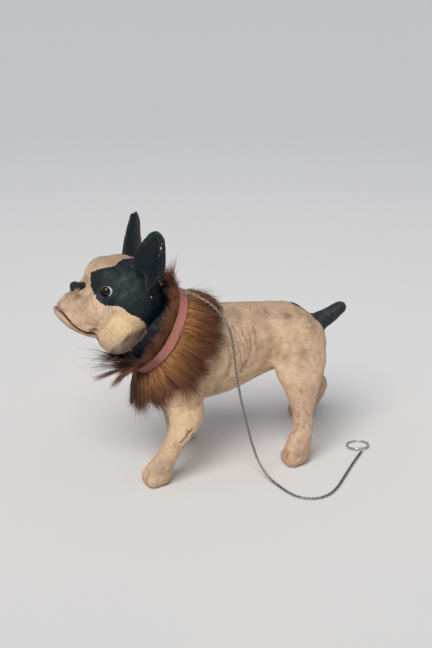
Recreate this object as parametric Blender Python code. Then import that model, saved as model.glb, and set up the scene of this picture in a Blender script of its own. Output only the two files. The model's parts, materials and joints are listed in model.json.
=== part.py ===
"""An old papier-mache pull toy: a bulldog in stride, with a nodding head, a lower jaw that drops, glass eyes,
a bristle ruff under a leather collar, and a chain with a finger ring.

The dog looks along -X and its left side is towards -Y. Places on the figure are given in figure
millimetres from a point on the floor between its feet, with Z up. They are shares of its length: one figure
millimetre is a real one while FIGURE_LENGTH is 0.510. Bores, gaps, the collar, the chain and the ring have
real sizes of their own, in metres.
"""

import math

import bmesh
import bpy
import numpy as np
from mathutils import Euler, Matrix, Vector
from mathutils.bvhtree import BVHTree

FIGURE_LENGTH = 0.510
MM = FIGURE_LENGTH / 510

TOUCH_GAP = 0.0003
SHARD = 0.0001
BODY_VOXEL = 0.0030
HEAD_VOXEL = 0.0021
BODY_TRIANGLES = 2400
HEAD_TRIANGLES = 2100
HAIR_STAND_OFF = 1.2 * MM

NECK_CENTRE = (-67, 0, 243)
NECK_RISE_DEG = 32.7
NECK_TALL = 72 * MM
NECK_WIDE = 65 * MM
NECK_REACH = 11 * MM
NECK_SIDES = 36
SHOULDER_SETBACK = 13 * MM
SHOULDER_SLOPE = 0.45
NECK_BALL_RADIUS = 56 * MM
NECK_BALL_CLEARANCE = 0.0015

COLLAR_WIDTH = 0.017
COLLAR_THICKNESS = 0.0027
HAIR_UNDER_COLLAR = 0.0025
COLLAR_LOOP_TURN_DEG = 20
LOOP_RADIUS = 0.0040
LOOP_WIRE_RADIUS = 0.0009

EYE_RADIUS = 9.6 * MM
EYE_PLACE = (-160.5, 40, 333)
EYE_SOCKET_CLEARANCE = TOUCH_GAP

JAW_HINGE = (-171, 0, 257)
JAW_HINGE_RADIUS = 9 * MM
JAW_CLEARANCE = 0.0012

CHAIN_DIAMETER = 0.0044
CHAIN_POINT_STEP = 3.2 * CHAIN_DIAMETER
RING_CENTRE_X = 0.272
RING_CENTRE_Y = -0.064
RING_RADIUS = 0.0185
RING_WIRE_RADIUS = 0.0015
RING_TILT_DEG = 6

# The chain's way from the loop on the collar, over the ruff and the flank, down to the floor and out to
# the ring, in metres from the same floor point as the figure's places.
CHAIN_ROUTE = [
    (-0.0290, -0.0300, 0.3135),
    (-0.0180, -0.0370, 0.3090),
    (-0.0040, -0.0450, 0.3020),
    (0.0120, -0.0560, 0.2900),
    (0.0270, -0.0680, 0.2700),
    (0.0340, -0.0770, 0.2450),
    (0.0370, -0.0810, 0.2150),
    (0.0400, -0.0840, 0.1770),
    (0.0445, -0.0880, 0.1450),
    (0.0520, -0.0955, 0.1020),
    (0.0600, -0.1045, 0.0600),
    (0.0690, -0.1140, 0.0280),
    (0.0780, -0.1250, 0.0085),
    (0.0850, -0.1400, 0.0026),
    (0.0890, -0.1620, 0.0025),
    (0.0960, -0.1900, 0.0025),
    (0.1120, -0.2110, 0.0025),
    (0.1370, -0.2170, 0.0025),
    (0.1660, -0.2020, 0.0025),
    (0.1960, -0.1690, 0.0025),
    (0.2260, -0.1340, 0.0025),
    (0.2520, -0.1050, 0.0025),
    (0.2690, -0.0870, 0.0028),
]


def at(place):
    """A place on the figure, from figure millimetres."""
    return Vector(place) * MM


def mirrored(place):
    return (place[0], -place[1], place[2])


NECK_AXIS = Vector((-math.cos(math.radians(NECK_RISE_DEG)), 0, math.sin(math.radians(NECK_RISE_DEG))))
NECK_DOWN = Vector((-math.sin(math.radians(NECK_RISE_DEG)), 0, -math.cos(math.radians(NECK_RISE_DEG))))
NECK_AT = at(NECK_CENTRE)


def around_neck(turn, along, beyond):
    """The point at an angle round the neck from its top, along it towards the head, beyond its skin."""
    tall = (NECK_TALL + beyond) * math.cos(turn)
    wide = (NECK_WIDE + beyond) * math.sin(turn)
    return NECK_AT + NECK_AXIS * along - NECK_DOWN * tall - Vector((0, wide, 0))


def material(name, color, roughness, metallic=0.0):
    made = bpy.data.materials.new(name)
    made.use_nodes = True
    shader = made.node_tree.nodes["Principled BSDF"]
    shader.inputs["Base Color"].default_value = (*color, 1)
    shader.inputs["Roughness"].default_value = roughness
    shader.inputs["Metallic"].default_value = metallic
    return made


def new_object(name, mesh, finish):
    made = bpy.data.objects.new(name, mesh)
    bpy.context.scene.collection.objects.link(made)
    mesh.materials.clear()
    mesh.materials.append(finish)
    return made


def mesh_of(bm, name):
    bmesh.ops.recalc_face_normals(bm, faces=bm.faces)
    mesh = bpy.data.meshes.new(name)
    bm.to_mesh(mesh)
    bm.free()
    return mesh


def bake(made):
    """Applies the object's modifiers."""
    graph = bpy.context.evaluated_depsgraph_get()
    made.data = bpy.data.meshes.new_from_object(made.evaluated_get(graph))
    made.modifiers.clear()


def drop(made):
    mesh = made.data
    bpy.data.objects.remove(made)
    bpy.data.meshes.remove(mesh)


def combine(made, tool, operation):
    """Joins the tool to the object, or cuts it away."""
    modifier = made.modifiers.new(operation.title(), "BOOLEAN")
    modifier.operation = operation
    modifier.object = tool
    modifier.solver = "EXACT"
    bake(made)
    drop(tool)


def clear_shards(made):
    """Closes up the edges and faces that a cut left too small to matter."""
    bm = bmesh.new()
    bm.from_mesh(made.data)
    bmesh.ops.triangulate(bm, faces=bm.faces)
    bmesh.ops.dissolve_degenerate(bm, edges=bm.edges, dist=SHARD)
    bmesh.ops.triangulate(bm, faces=bm.faces)
    bm.to_mesh(made.data)
    bm.free()


def bridge(bm, rings, closed=False):
    """Skins a row of rings that have as many points each, with flat ends or closed into a hoop."""
    made = [[bm.verts.new(point) for point in ring] for ring in rings]
    pairs = list(zip(made, made[1:] + made[:1])) if closed else list(zip(made, made[1:]))
    for low, high in pairs:
        for i in range(len(low)):
            k = (i + 1) % len(low)
            bm.faces.new((low[i], low[k], high[k], high[i]))
    if not closed:
        bm.faces.new(reversed(made[0]))
        bm.faces.new(made[-1])


def ball(bm, place, radii, turn=(0, 0, 0)):
    """An egg-shaped lump, turned by degrees about X, Y and Z."""
    size = Matrix.Diagonal((*(radius * MM for radius in radii), 1))
    way = Euler([math.radians(angle) for angle in turn]).to_matrix().to_4x4()
    bmesh.ops.create_icosphere(bm, subdivisions=3, radius=1, matrix=Matrix.Translation(at(place)) @ way @ size)


def both_sides(bm, place, radii, turn=(0, 0, 0)):
    ball(bm, place, radii, turn)
    ball(bm, mirrored(place), radii, (-turn[0], turn[1], -turn[2]))


def round_ring(centre, across, up, count=20):
    turns = [2 * math.pi * i / count for i in range(count)]
    return [centre + across * math.cos(turn) + up * math.sin(turn) for turn in turns]


def trunk(bm, stations):
    """Upright sections along the back: each is x, middle height, half width, half height."""
    rings = []
    for x, z, wide, tall in stations:
        rings.append(round_ring(at((x, 0, z)), at((0, wide, 0)), at((0, 0, tall)), 28))
    bridge(bm, rings)


def limb(bm, stations, side):
    """Level sections down a leg: each is height, x, half length, distance from the middle, half width."""
    rings = []
    for z, x, long, out, wide in stations:
        rings.append(round_ring(at((x, side * out, z)), at((long, 0, 0)), at((0, wide, 0))))
    bridge(bm, rings)


def paw(bm, x, out, side):
    """A broad foot that sinks a little below the floor, where it is cut flat later."""
    ball(bm, (x, side * out, 14), (26, 22, 18))
    for step, reach, size in ((-1.5, 10, 7.5), (-0.5, 15, 8.5), (0.5, 15, 8.5), (1.5, 10, 7.5)):
        ball(bm, (x - reach, side * out + step * TOE_STEP, 10), (12, size, 12))


def tube(bm, line):
    """Round sections along a line: each is a place and a radius, facing the next one."""
    points = [at(place) for place, _ in line]
    rings = []
    for i, (_, radius) in enumerate(line):
        ahead = (points[min(i + 1, len(line) - 1)] - points[max(i - 1, 0)]).normalized()
        across = ahead.cross(Vector((0, 0, 1))).normalized()
        rings.append(round_ring(points[i], across * radius * MM, across.cross(ahead) * radius * MM))
    bridge(bm, rings)


def fused(bm, name, voxel, smoothing, finish):
    """One skin over all the overlapping lumps, as pulp laid over a former."""
    made = new_object(name, mesh_of(bm, name), finish)
    skin = made.modifiers.new("Skin", "REMESH")
    skin.mode = "VOXEL"
    skin.voxel_size = voxel
    soft = made.modifiers.new("Soft", "SMOOTH")
    soft.factor = 0.5
    soft.iterations = smoothing
    bake(made)
    return made


class Clay:
    """Moves a mesh's skin in and out along its normals, as a carver's thumb does."""

    def __init__(self, made):
        self.mesh = made.data
        count = len(self.mesh.vertices)
        self.points = np.empty(count * 3)
        self.mesh.vertices.foreach_get("co", self.points)
        self.points = self.points.reshape(-1, 3)
        self.normals = np.array([vertex.normal for vertex in self.mesh.vertices])
        self.skin = BVHTree.FromPolygons(self.points.tolist(), [face.vertices for face in self.mesh.polygons])

    def on_skin(self, places):
        """The line through the places, laid on the skin."""
        line = []
        for start, end in zip(places[:-1], places[1:]):
            for share in (0, 0.25, 0.5, 0.75):
                line.append(at(start).lerp(at(end), share))
        line.append(at(places[-1]))
        return np.array([self.skin.find_nearest(point)[0] for point in line])

    def press(self, place, radii, depth):
        """Presses in round a place, or swells it where depth is negative."""
        spread = ((self.points - np.array(at(place))) / (np.array(radii) * MM)) ** 2
        self.points -= self.normals * (depth * MM * np.exp(-2 * spread.sum(1)))[:, None]

    def press_both(self, place, radii, depth):
        self.press(place, radii, depth)
        self.press(mirrored(place), radii, depth)

    def groove(self, places, width, depth):
        """Carves a soft channel along a line of places, or raises a ridge where depth is negative."""
        line = self.on_skin(places)
        near = np.full(len(self.points), 1e9)
        for start, end in zip(line[:-1], line[1:]):
            way = end - start
            share = np.clip((self.points - start) @ way / (way @ way), 0, 1)
            near = np.minimum(near, ((self.points - start - share[:, None] * way) ** 2).sum(1))
        self.points -= self.normals * (depth * MM * np.exp(-near / (width * MM) ** 2))[:, None]

    def groove_both(self, places, width, depth):
        self.groove(places, width, depth)
        self.groove([mirrored(place) for place in places], width, depth)

    def set_back_from_collar(self):
        """Leaves the band and its bristles room: the shoulders and chest slope back all round the neck."""
        offset = self.points - np.array(NECK_AT)
        along = offset @ np.array(NECK_AXIS)
        round_neck = np.hypot(offset @ np.array(NECK_DOWN) / NECK_TALL, offset[:, 1] / NECK_WIDE)
        slope = SHOULDER_SETBACK + SHOULDER_SLOPE * NECK_TALL * (np.minimum(round_neck, 1.6) - 1)
        over = np.where(round_neck > 1, np.maximum(along + slope, 0), 0)
        self.points -= over[:, None] * np.array(NECK_AXIS)

    def done(self):
        self.mesh.vertices.foreach_set("co", self.points.ravel())
        self.mesh.update()


def thin_out(made, triangles):
    """Leaves about so many triangles, most where the form bends most."""
    cut = made.modifiers.new("Triangles", "TRIANGULATE")
    cut.quad_method = "BEAUTY"
    bake(made)
    fewer = made.modifiers.new("Fewer", "DECIMATE")
    fewer.ratio = triangles / len(made.data.polygons)
    bake(made)


TRUNK = [
    (-104, 172, 36, 40),
    (-86, 180, 54, 62),
    (-52, 188, 65, 77),
    (-10, 190, 67, 80),
    (30, 191, 64, 79),
    (70, 195, 57, 74),
    (105, 200, 51, 65),
    (135, 203, 50, 59),
    (168, 199, 55, 58),
    (196, 194, 51, 46),
    (214, 189, 42, 36),
    (225, 186, 28, 24),
]
NEAR_FORELEG = [
    (196, -38, 42, 46, 24),
    (160, -42, 38, 56, 26),
    (136, -44, 34, 62, 26),
    (118, -40, 31.5, 66, 25),
    (100, -42, 28, 69, 23),
    (84, -50, 23.5, 72, 21),
    (66, -65, 19.5, 75, 19),
    (48, -79, 20, 77, 20),
    (32, -88, 23.5, 74, 21),
    (16, -92, 25, 71, 22),
    (5, -92, 18, 70, 15),
]
FAR_FORELEG = [
    (196, -38, 42, 46, 24),
    (160, -36, 38, 53, 26),
    (136, -32, 34, 57, 26),
    (118, -28, 31, 60, 25),
    (100, -25, 28, 63, 23),
    (84, -22, 24, 65, 21),
    (66, -19, 20, 68, 19),
    (48, -14, 20, 70, 20),
    (32, -6, 23.5, 72, 21),
    (16, 0, 25, 72, 22),
    (5, 0, 18, 72, 15),
]
NEAR_HIND_LEG = [
    (212, 178, 38, 36, 22),
    (190, 170, 47, 45, 26),
    (168, 166, 49, 53, 27),
    (148, 164, 41, 60, 27),
    (130, 164, 32.5, 66, 25),
    (110, 163, 24, 72, 21),
    (90, 162, 18, 77, 17.5),
    (70, 161, 16.5, 81, 16.5),
    (52, 157, 19.5, 83, 17.5),
    (32, 151, 23, 83, 20),
    (16, 150, 25, 81, 22),
    (5, 150, 18, 80, 15),
]
FAR_HIND_LEG = [
    (212, 178, 38, 36, 22),
    (190, 174, 47, 44, 26),
    (168, 176, 49, 51, 27),
    (148, 184, 44, 58, 27),
    (130, 196, 38, 64, 25),
    (110, 214, 32, 70, 22),
    (90, 235, 27, 76, 19),
    (72, 251, 24, 80, 17.5),
    (56, 256, 24, 83, 17.5),
    (40, 252, 23, 86, 19),
    (26, 242, 25, 89, 21),
    (14, 236, 25, 91, 22),
    (5, 235, 18, 91, 15),
]
NEAR_SIDE, FAR_SIDE = -1, 1
TOE_STEP = 11
NEAR_FOREPAW = (-94, 71)
FAR_FOREPAW = (-1, 72)
NEAR_HIND_PAW = (148, 81)
FAR_HIND_PAW = (234, 91)
TAIL = [
    ((196, 0, 203), 21),
    ((222, 0, 215), 17.5),
    ((240, 0, 224), 14.5),
    ((254, 0, 232), 12.5),
    ((262, 0, 237), 11.5),
    ((267, 0, 240), 8),
]


def body():
    bm = bmesh.new()
    trunk(bm, TRUNK)
    both_sides(bm, (-34, 46, 186), (50, 27, 60))
    both_sides(bm, (172, 34, 196), (48, 27, 50))
    ball(bm, (-78, 0, 165), (36, 48, 52))
    limb(bm, NEAR_FORELEG, NEAR_SIDE)
    limb(bm, FAR_FORELEG, FAR_SIDE)
    limb(bm, NEAR_HIND_LEG, NEAR_SIDE)
    limb(bm, FAR_HIND_LEG, FAR_SIDE)
    for (x, out), side in (
        (NEAR_FOREPAW, NEAR_SIDE),
        (FAR_FOREPAW, FAR_SIDE),
        (NEAR_HIND_PAW, NEAR_SIDE),
        (FAR_HIND_PAW, FAR_SIDE),
    ):
        paw(bm, x, out, side)
    tube(bm, TAIL)
    ball(bm, (261, 0, 236.5), (11.5, 11.5, 11.5))
    neck = [around_neck_ring(-70 * MM, -8 * MM), around_neck_ring(NECK_REACH - 4 * MM, -5 * MM)]
    bridge(bm, neck)
    made = fused(bm, "body", BODY_VOXEL, 9, PAINTED_PULP)
    carve_body(Clay(made))
    thin_out(made, BODY_TRIANGLES)
    under_hair = new_object("under_hair", made.data.copy(), PAINTED_PULP)
    swollen = Clay(under_hair)
    swollen.points += swollen.normals * HAIR_STAND_OFF
    swollen.done()

    combine(made, sleeve(-34 * MM, NECK_REACH, 0), "UNION")
    combine(made, sphere("cup", NECK_AT, NECK_BALL_RADIUS + NECK_BALL_CLEARANCE, 20), "DIFFERENCE")
    flatten_soles(made)
    clear_shards(made)
    return made, under_hair


def sleeve(start, end, beyond):
    """The straight oval part of the neck that the band goes round."""
    bm = bmesh.new()
    bridge(bm, [around_neck_ring(start, beyond), around_neck_ring(end, beyond)])
    return new_object("sleeve", mesh_of(bm, "sleeve"), PAINTED_PULP)


def around_neck_ring(along, beyond):
    return [around_neck(2 * math.pi * i / NECK_SIDES, along, beyond) for i in range(NECK_SIDES)]


def sphere(name, place, radius, sides):
    bm = bmesh.new()
    bmesh.ops.create_uvsphere(bm, u_segments=sides, v_segments=sides // 2, radius=radius)
    bmesh.ops.translate(bm, verts=bm.verts, vec=place)
    return new_object(name, mesh_of(bm, name), PAINTED_PULP)


def flatten_soles(made):
    """Cuts the feet off level with the floor and closes each with one flat face."""
    bm = bmesh.new()
    bm.from_mesh(made.data)
    every = bm.verts[:] + bm.edges[:] + bm.faces[:]
    cut = bmesh.ops.bisect_plane(
        bm, geom=every, dist=1e-7, plane_co=(0, 0, 0), plane_no=(0, 0, 1), clear_inner=True
    )
    for vert in [item for item in cut["geom_cut"] if isinstance(item, bmesh.types.BMVert)]:
        vert.co.z = 0
    bmesh.ops.holes_fill(bm, edges=[edge for edge in bm.edges if edge.is_boundary], sides=0)
    bmesh.ops.recalc_face_normals(bm, faces=bm.faces)
    bm.to_mesh(made.data)
    bm.free()


def carve_body(clay):
    """The skin folds, muscle lines, hollows and toes that show from a step away."""
    for shift, deep in ((0, 2.6), (13, 2.2), (25, 1.6)):
        fold = [(52 + shift, 60, 256 - shift), (68 + shift, 64, 244), (80 + shift, 64, 216)]
        fold += [(78 + shift, 60, 184), (62 + shift, 58, 168)]
        clay.groove_both(fold, 4.5, deep)
    clay.groove_both([(22, 66, 256), (40, 70, 222), (44, 70, 190), (32, 64, 156)], 6, 3.2)
    clay.groove_both([(118, 46, 236), (122, 50, 206), (112, 50, 176)], 11, 4.5)
    clay.press_both((196, 52, 190), (26, 22, 30), 4)
    clay.press_both((236, 12, 200), (10, 12, 12), 2)
    clay.groove([(150, 0, 262), (180, 0, 256), (205, 0, 242)], 7, 1.5)
    clay.groove([(-66, -88, 136), (-40, -92, 131), (-14, -88, 134)], 4.5, 3)
    clay.groove([(-56, 84, 136), (-30, 88, 131), (-4, 84, 134)], 4.5, 3)
    for (x, out), side in (
        (NEAR_FOREPAW, NEAR_SIDE),
        (FAR_FOREPAW, FAR_SIDE),
        (NEAR_HIND_PAW, NEAR_SIDE),
        (FAR_HIND_PAW, FAR_SIDE),
    ):
        for step in (-1, 0, 1):
            y = side * out + step * TOE_STEP
            clay.groove([(x - 32, y, 0), (x - 28, y, 12), (x - 18, y, 26)], 3.4, 3.2)
    clay.set_back_from_collar()
    clay.done()


CRANIUM = ((-130, 0, 321), (58, 55, 54))
MUZZLE = [
    (254, -180, 12, 34),
    (262, -182, 26, 41),
    (272, -187, 39, 43),
    (283, -189, 45, 41.5),
    (293, -190, 44, 38.5),
    (302, -190, 41, 34.5),
    (310, -190, 36, 30),
    (318, -189, 27, 24),
    (325, -186, 15, 17),
]
MUZZLE_SQUARENESS = 0.85
EARS = [
    (314, -104, 40, 20, 20),
    (330, -92, 50, 26, 18),
    (347, -80, 59.5, 31, 15),
    (366, -73, 66, 30, 12),
    (386, -72, 68, 27, 9.5),
    (404, -72, 69, 22.5, 7.5),
    (416, -74, 68, 17, 6.2),
    (425, -78, 65.5, 10.5, 5),
    (429, -82, 62, 5, 3),
]
EAR_TURN_DEG = 45
EAR_HOLLOW = 0.75


def ear(bm, side):
    """An upright ear that opens forwards and outwards. Each section is a height, the rear edge's x and
    distance out, half width and half thickness."""
    turn = math.radians(EAR_TURN_DEG)
    front = Vector((-math.cos(turn), side * math.sin(turn), 0))
    across = Vector((math.sin(turn), side * math.cos(turn), 0))
    rings = []
    for z, x, out, wide, thick in EARS:
        middle = at((x, side * out, z)) - across * (wide * MM)
        ring = []
        for i in range(24):
            angle = 2 * math.pi * i / 24
            c, s = math.cos(angle), math.sin(angle)
            deep = thick * s
            if s > 0:
                deep = thick * s - 2 * EAR_HOLLOW * thick * s * (1 - c * c)
            ring.append(middle + (across * (wide * c) + front * deep) * MM)
        rings.append(ring)
    bridge(bm, rings)


def head():
    bm = bmesh.new()
    ball(bm, *CRANIUM)
    ball(bm, (-151, 0, 341), (33.5, 44, 34))
    both_sides(bm, (-149, 24, 345), (25, 22, 23))
    both_sides(bm, (-142, 32, 268), (40, 33, 46))
    ball(bm, (-138, 0, 264), (40, 46, 42))
    both_sides(bm, (-122, 34, 300), (42, 30, 46))
    both_sides(bm, (-165, 34, 296), (30, 22, 40))
    muzzle = []
    for z, x, long, wide in MUZZLE:
        ring = []
        for i in range(28):
            c, s = math.cos(2 * math.pi * i / 28), math.sin(2 * math.pi * i / 28)
            forward = math.copysign(abs(c) ** MUZZLE_SQUARENESS, c)
            outward = math.copysign(abs(s) ** MUZZLE_SQUARENESS, s)
            ring.append(at((x + long * forward, wide * outward, z)))
        muzzle.append(ring)
    bridge(bm, muzzle)
    ball(bm, (-186, 0, 320), (22, 26, 16))
    both_sides(bm, (-198, 6.5, 329), (11.5, 10.5, 10))
    ball(bm, (-198, 0, 329), (12, 13, 10))
    ball(bm, (-98, 0, 296), (42, 50, 52))
    for side in (NEAR_SIDE, FAR_SIDE):
        ear(bm, side)
    made = fused(bm, "head", HEAD_VOXEL, 5, PAINTED_PULP)
    carve_head(Clay(made))
    thin_out(made, HEAD_TRIANGLES)
    combine(made, sphere("neck_ball", NECK_AT, NECK_BALL_RADIUS, 20), "UNION")
    for side in (NEAR_SIDE, FAR_SIDE):
        socket = sphere("socket", at(eye_place(side)), EYE_RADIUS + EYE_SOCKET_CLEARANCE, 12)
        combine(made, socket, "DIFFERENCE")
    combine(made, mouth_cutter(), "DIFFERENCE")
    clear_shards(made)
    return made


def eye_place(side):
    return (EYE_PLACE[0], side * EYE_PLACE[1], EYE_PLACE[2])


def carve_head(clay):
    """The eye hollows and lids, the stop, the nostrils, the folds of the muzzle and the cheeks' edges."""
    clay.press_both((-166, 45, 333), (15, 14, 12), 2.6)
    clay.groove_both([(-177, 38, 337), (-170, 43, 343), (-158, 48, 344), (-148, 52, 338)], 3.2, -3.4)
    clay.groove_both([(-177, 38, 329), (-168, 45, 323), (-157, 49, 323), (-148, 52, 330)], 3.2, -2.8)
    clay.groove([(-188, 0, 344), (-184, 0, 362), (-165, 0, 373)], 6, 1.6)
    clay.groove_both([(-195, 8, 341), (-189, 17, 332), (-195, 20, 320), (-207, 14, 316)], 3, 2.4)
    clay.press_both((-210, 7, 327), (3.5, 3.5, 3.5), 2.5)
    clay.groove([(-228, 0, 300), (-224, 0, 308), (-214, 0, 318)], 3, 2.2)
    clay.groove_both([(-190, 40, 264), (-182, 44, 272), (-180, 46, 284)], 4, 2.4)
    clay.groove_both([(-190, 36, 318), (-184, 42, 306), (-181, 45, 290)], 7, 1.6)
    clay.press_both((-112, 64, 262), (22, 16, 20), 3)
    clay.done()


JAW = [
    (-235.5, 10, 290, 298.5),
    (-233, 17, 285.5, 300),
    (-227, 25, 277.5, 297),
    (-219, 30.5, 270, 287),
    (-209, 34.5, 263.5, 276),
    (-197, 37, 257.5, 268),
    (-184, 38, 252, 264),
    (-171, 38, 248, 266),
]
JAW_SECTION = 14
MOUTH_SIDE_RELIEF = 9 * MM
MOUTH_FLOOR = 243 * MM


def jaw_ring(x, wide, low, high, grow=0.0):
    """An upright section of the lower jaw, flat on top and round underneath."""
    ring = []
    for i in range(JAW_SECTION):
        turn = 2 * math.pi * i / JAW_SECTION
        c, s = math.cos(turn), math.sin(turn)
        flat = math.copysign(abs(c) ** 0.7, c)
        up = (high - low) / 2 * math.copysign(abs(s) ** (0.5 if s > 0 else 1.0), s)
        ring.append(at((x, wide * flat, (low + high) / 2 + up)) + Vector((0, grow * c, grow * s)))
    return ring


def jaw():
    bm = bmesh.new()
    rings = [jaw_ring(*section) for section in JAW]
    _, wide, low, high = JAW[-1]
    for angle in (30, 60, 85):
        back = JAW_HINGE_RADIUS / MM * math.sin(math.radians(angle))
        tall = math.cos(math.radians(angle))
        middle = (low + high) / 2
        half = (high - low) / 2 * tall
        rings.append(jaw_ring(JAW_HINGE[0] + back, wide, middle - half, middle + half))
    bridge(bm, rings)
    return new_object("jaw", mesh_of(bm, "jaw"), PAINTED_PULP)


def mouth_cutter():
    """Clears the head above and behind the jaw, and below it as far as it drops."""
    bm = bmesh.new()
    rings = []
    for x, wide, _, high in [(-262, 10, 0, 299)] + JAW:
        out = wide * MM + JAW_CLEARANCE + MOUTH_SIDE_RELIEF * min(max((JAW_HINGE[0] - 4 - x) / 14, 0), 1)
        top = high * MM + JAW_CLEARANCE
        rings.append(section_box(x * MM, out, MOUTH_FLOOR, top))
    _, wide, low, high = JAW[-1]
    reach = JAW_HINGE_RADIUS + JAW_CLEARANCE
    half = (high - low) / 2 * MM + JAW_CLEARANCE
    for angle in (30, 60, 85):
        back = reach * math.sin(math.radians(angle))
        tall = half * math.cos(math.radians(angle))
        middle = (low + high) / 2 * MM
        out = wide * MM + JAW_CLEARANCE
        rings.append(section_box(JAW_HINGE[0] * MM + back, out, middle - tall, middle + tall))
    bridge(bm, rings)
    return new_object("mouth", mesh_of(bm, "mouth"), PAINTED_PULP)


def section_box(x, out, low, high):
    """A section with the corners of its top rounded as the jaw's are."""
    round_off = min(out, high - low) * 0.3
    return [
        Vector((x, -out, low)),
        Vector((x, out, low)),
        Vector((x, out, high - round_off)),
        Vector((x, out - round_off * 0.3, high - round_off * 0.3)),
        Vector((x, out - round_off, high)),
        Vector((x, -out + round_off, high)),
        Vector((x, -out + round_off * 0.3, high - round_off * 0.3)),
        Vector((x, -out, high - round_off)),
    ]


def eye(side, name):
    made = sphere(name, at(eye_place(side)), EYE_RADIUS, 12)
    made.data.materials[0] = DARK_GLASS
    return made


def collar():
    """A leather band round the neck, over the strip that holds the bristles."""
    low = HAIR_UNDER_COLLAR + 2 * TOUCH_GAP
    half = COLLAR_WIDTH / 2
    edge = COLLAR_THICKNESS * 0.3
    section = [
        (-half, low),
        (half, low),
        (half, low + COLLAR_THICKNESS - edge),
        (half - edge, low + COLLAR_THICKNESS),
        (-half + edge, low + COLLAR_THICKNESS),
        (-half, low + COLLAR_THICKNESS - edge),
    ]
    bm = bmesh.new()
    rings = []
    for i in range(NECK_SIDES):
        turn = 2 * math.pi * i / NECK_SIDES
        rings.append([around_neck(turn, along, beyond) for along, beyond in section])
    bridge(bm, rings, closed=True)
    return new_object("collar", mesh_of(bm, "collar"), PINK_LEATHER)


FRONT_HAIR_REACH = 20 * MM
FRONT_HAIR_FLARE = 9 * MM
FRONT_HAIR_HANG = 12 * MM
HAIR_THICKNESS = 8 * MM
# The cape's rear edge: angle round the neck from its top, how far it reaches back from the band, and how far
# it stands beyond the neck. It lies on the back and the flanks, goes over the upper legs and hangs in front
# of the chest.
CAPE_EDGE = [
    (0, 61, 6),
    (30, 61, 10),
    (45, 60, 16),
    (60, 66, 16),
    (80, 78, 12),
    (100, 76, 18),
    (115, 72, 40),
    (124, 66, 52),
    (132, 58, 58),
    (140, 50, 60),
    (157, 34, 52),
    (180, 18, 46),
]
# How far back each row of the cape lies, as a share of its length, and how thick the hair is there.
CAPE_INNER = (1.0, 0.55, 0.15)
CAPE_OUTER = ((0.12, 7 * MM), (0.38, 8 * MM), (0.68, 7.5 * MM), (0.99, 4.5 * MM))
CAPE_INNER_DEPTH = 12 * MM
OVER_BODY_REACH = 30 * MM
OVER_BODY_TURN_DEG = 112


def ruff(under_hair):
    """The bristles as one thick frill: a cape over the shoulders and a shorter flare towards the head. The
    cape is made deeper than its hair and its inside is then cut to the body's own form."""
    skin = BVHTree.FromObject(under_hair, bpy.context.evaluated_depsgraph_get())
    half = COLLAR_WIDTH / 2 + TOUCH_GAP

    def over_body(turn, along, beyond, lift):
        """The point beyond the neck, moved out over the back and the flanks where they stand further out."""
        free = around_neck(turn, along, beyond)
        axis = NECK_AT + NECK_AXIS * along
        out = (free - axis).normalized()
        reach = (free - axis).length
        if math.cos(turn) > math.cos(math.radians(OVER_BODY_TURN_DEG)):
            hit = skin.ray_cast(axis + out * (reach + OVER_BODY_REACH), -out, OVER_BODY_REACH)[0]
            reach = max(reach, (hit - axis).length if hit else 0)
        return axis + out * (reach + lift)

    bm = bmesh.new()
    rings = []
    for i in range(NECK_SIDES):
        turn = 2 * math.pi * i / NECK_SIDES
        low = (1 - math.cos(turn)) / 2
        ragged = 1 + 0.04 * math.sin(9 * turn) + 0.03 * math.sin(14 * turn + 1)
        angle = math.degrees(math.acos(math.cos(turn)))
        back, flare = (MM * np.interp(angle, *(list(zip(*CAPE_EDGE))[k] for k in pair)) for pair in ((0, 1), (0, 2)))
        back *= ragged
        front = FRONT_HAIR_REACH * (1 + 0.10 * math.sin(7 * turn))
        front_flare = FRONT_HAIR_FLARE + FRONT_HAIR_HANG * low**3

        def cape(share, lift):
            return over_body(turn, -half - back * share, flare * share, lift)

        ring = [cape(share, -CAPE_INNER_DEPTH * min(1, share + 0.3)) for share in CAPE_INNER]
        ring.append(around_neck(turn, -half, -1 * MM))
        ring.append(around_neck(turn, half, -1 * MM))
        ring.append(around_neck(turn, half + front, TOUCH_GAP + front_flare))
        ring.append(around_neck(turn, half + front - 1.5 * MM, TOUCH_GAP + front_flare + 3 * MM))
        bulge = HAIR_UNDER_COLLAR + HAIR_THICKNESS * 0.8 + front_flare * 0.3
        ring.append(around_neck(turn, half + front * 0.35, bulge))
        ring.append(around_neck(turn, half, HAIR_UNDER_COLLAR + TOUCH_GAP))
        ring.append(around_neck(turn, -half, HAIR_UNDER_COLLAR + TOUCH_GAP))
        ring += [cape(share, lift) for share, lift in CAPE_OUTER]
        rings.append(ring)
    bridge(bm, rings, closed=True)
    made = new_object("ruff", mesh_of(bm, "ruff"), BRISTLE)
    combine(under_hair, sleeve(-38 * MM, NECK_REACH + TOUCH_GAP, TOUCH_GAP), "UNION")
    combine(made, under_hair, "DIFFERENCE")
    clear_shards(made)
    return made


def torus(name, radius, wire, place, turn, steps, sides, finish):
    bm = bmesh.new()
    way = Euler(turn).to_matrix()
    rings = []
    for i in range(steps):
        angle = 2 * math.pi * i / steps
        out = Vector((math.cos(angle), math.sin(angle), 0))
        ring = round_ring(out * radius, out * wire, Vector((0, 0, wire)), sides)
        rings.append([place + way @ point for point in ring])
    bridge(bm, rings, closed=True)
    return new_object(name, mesh_of(bm, name), finish)


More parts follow.
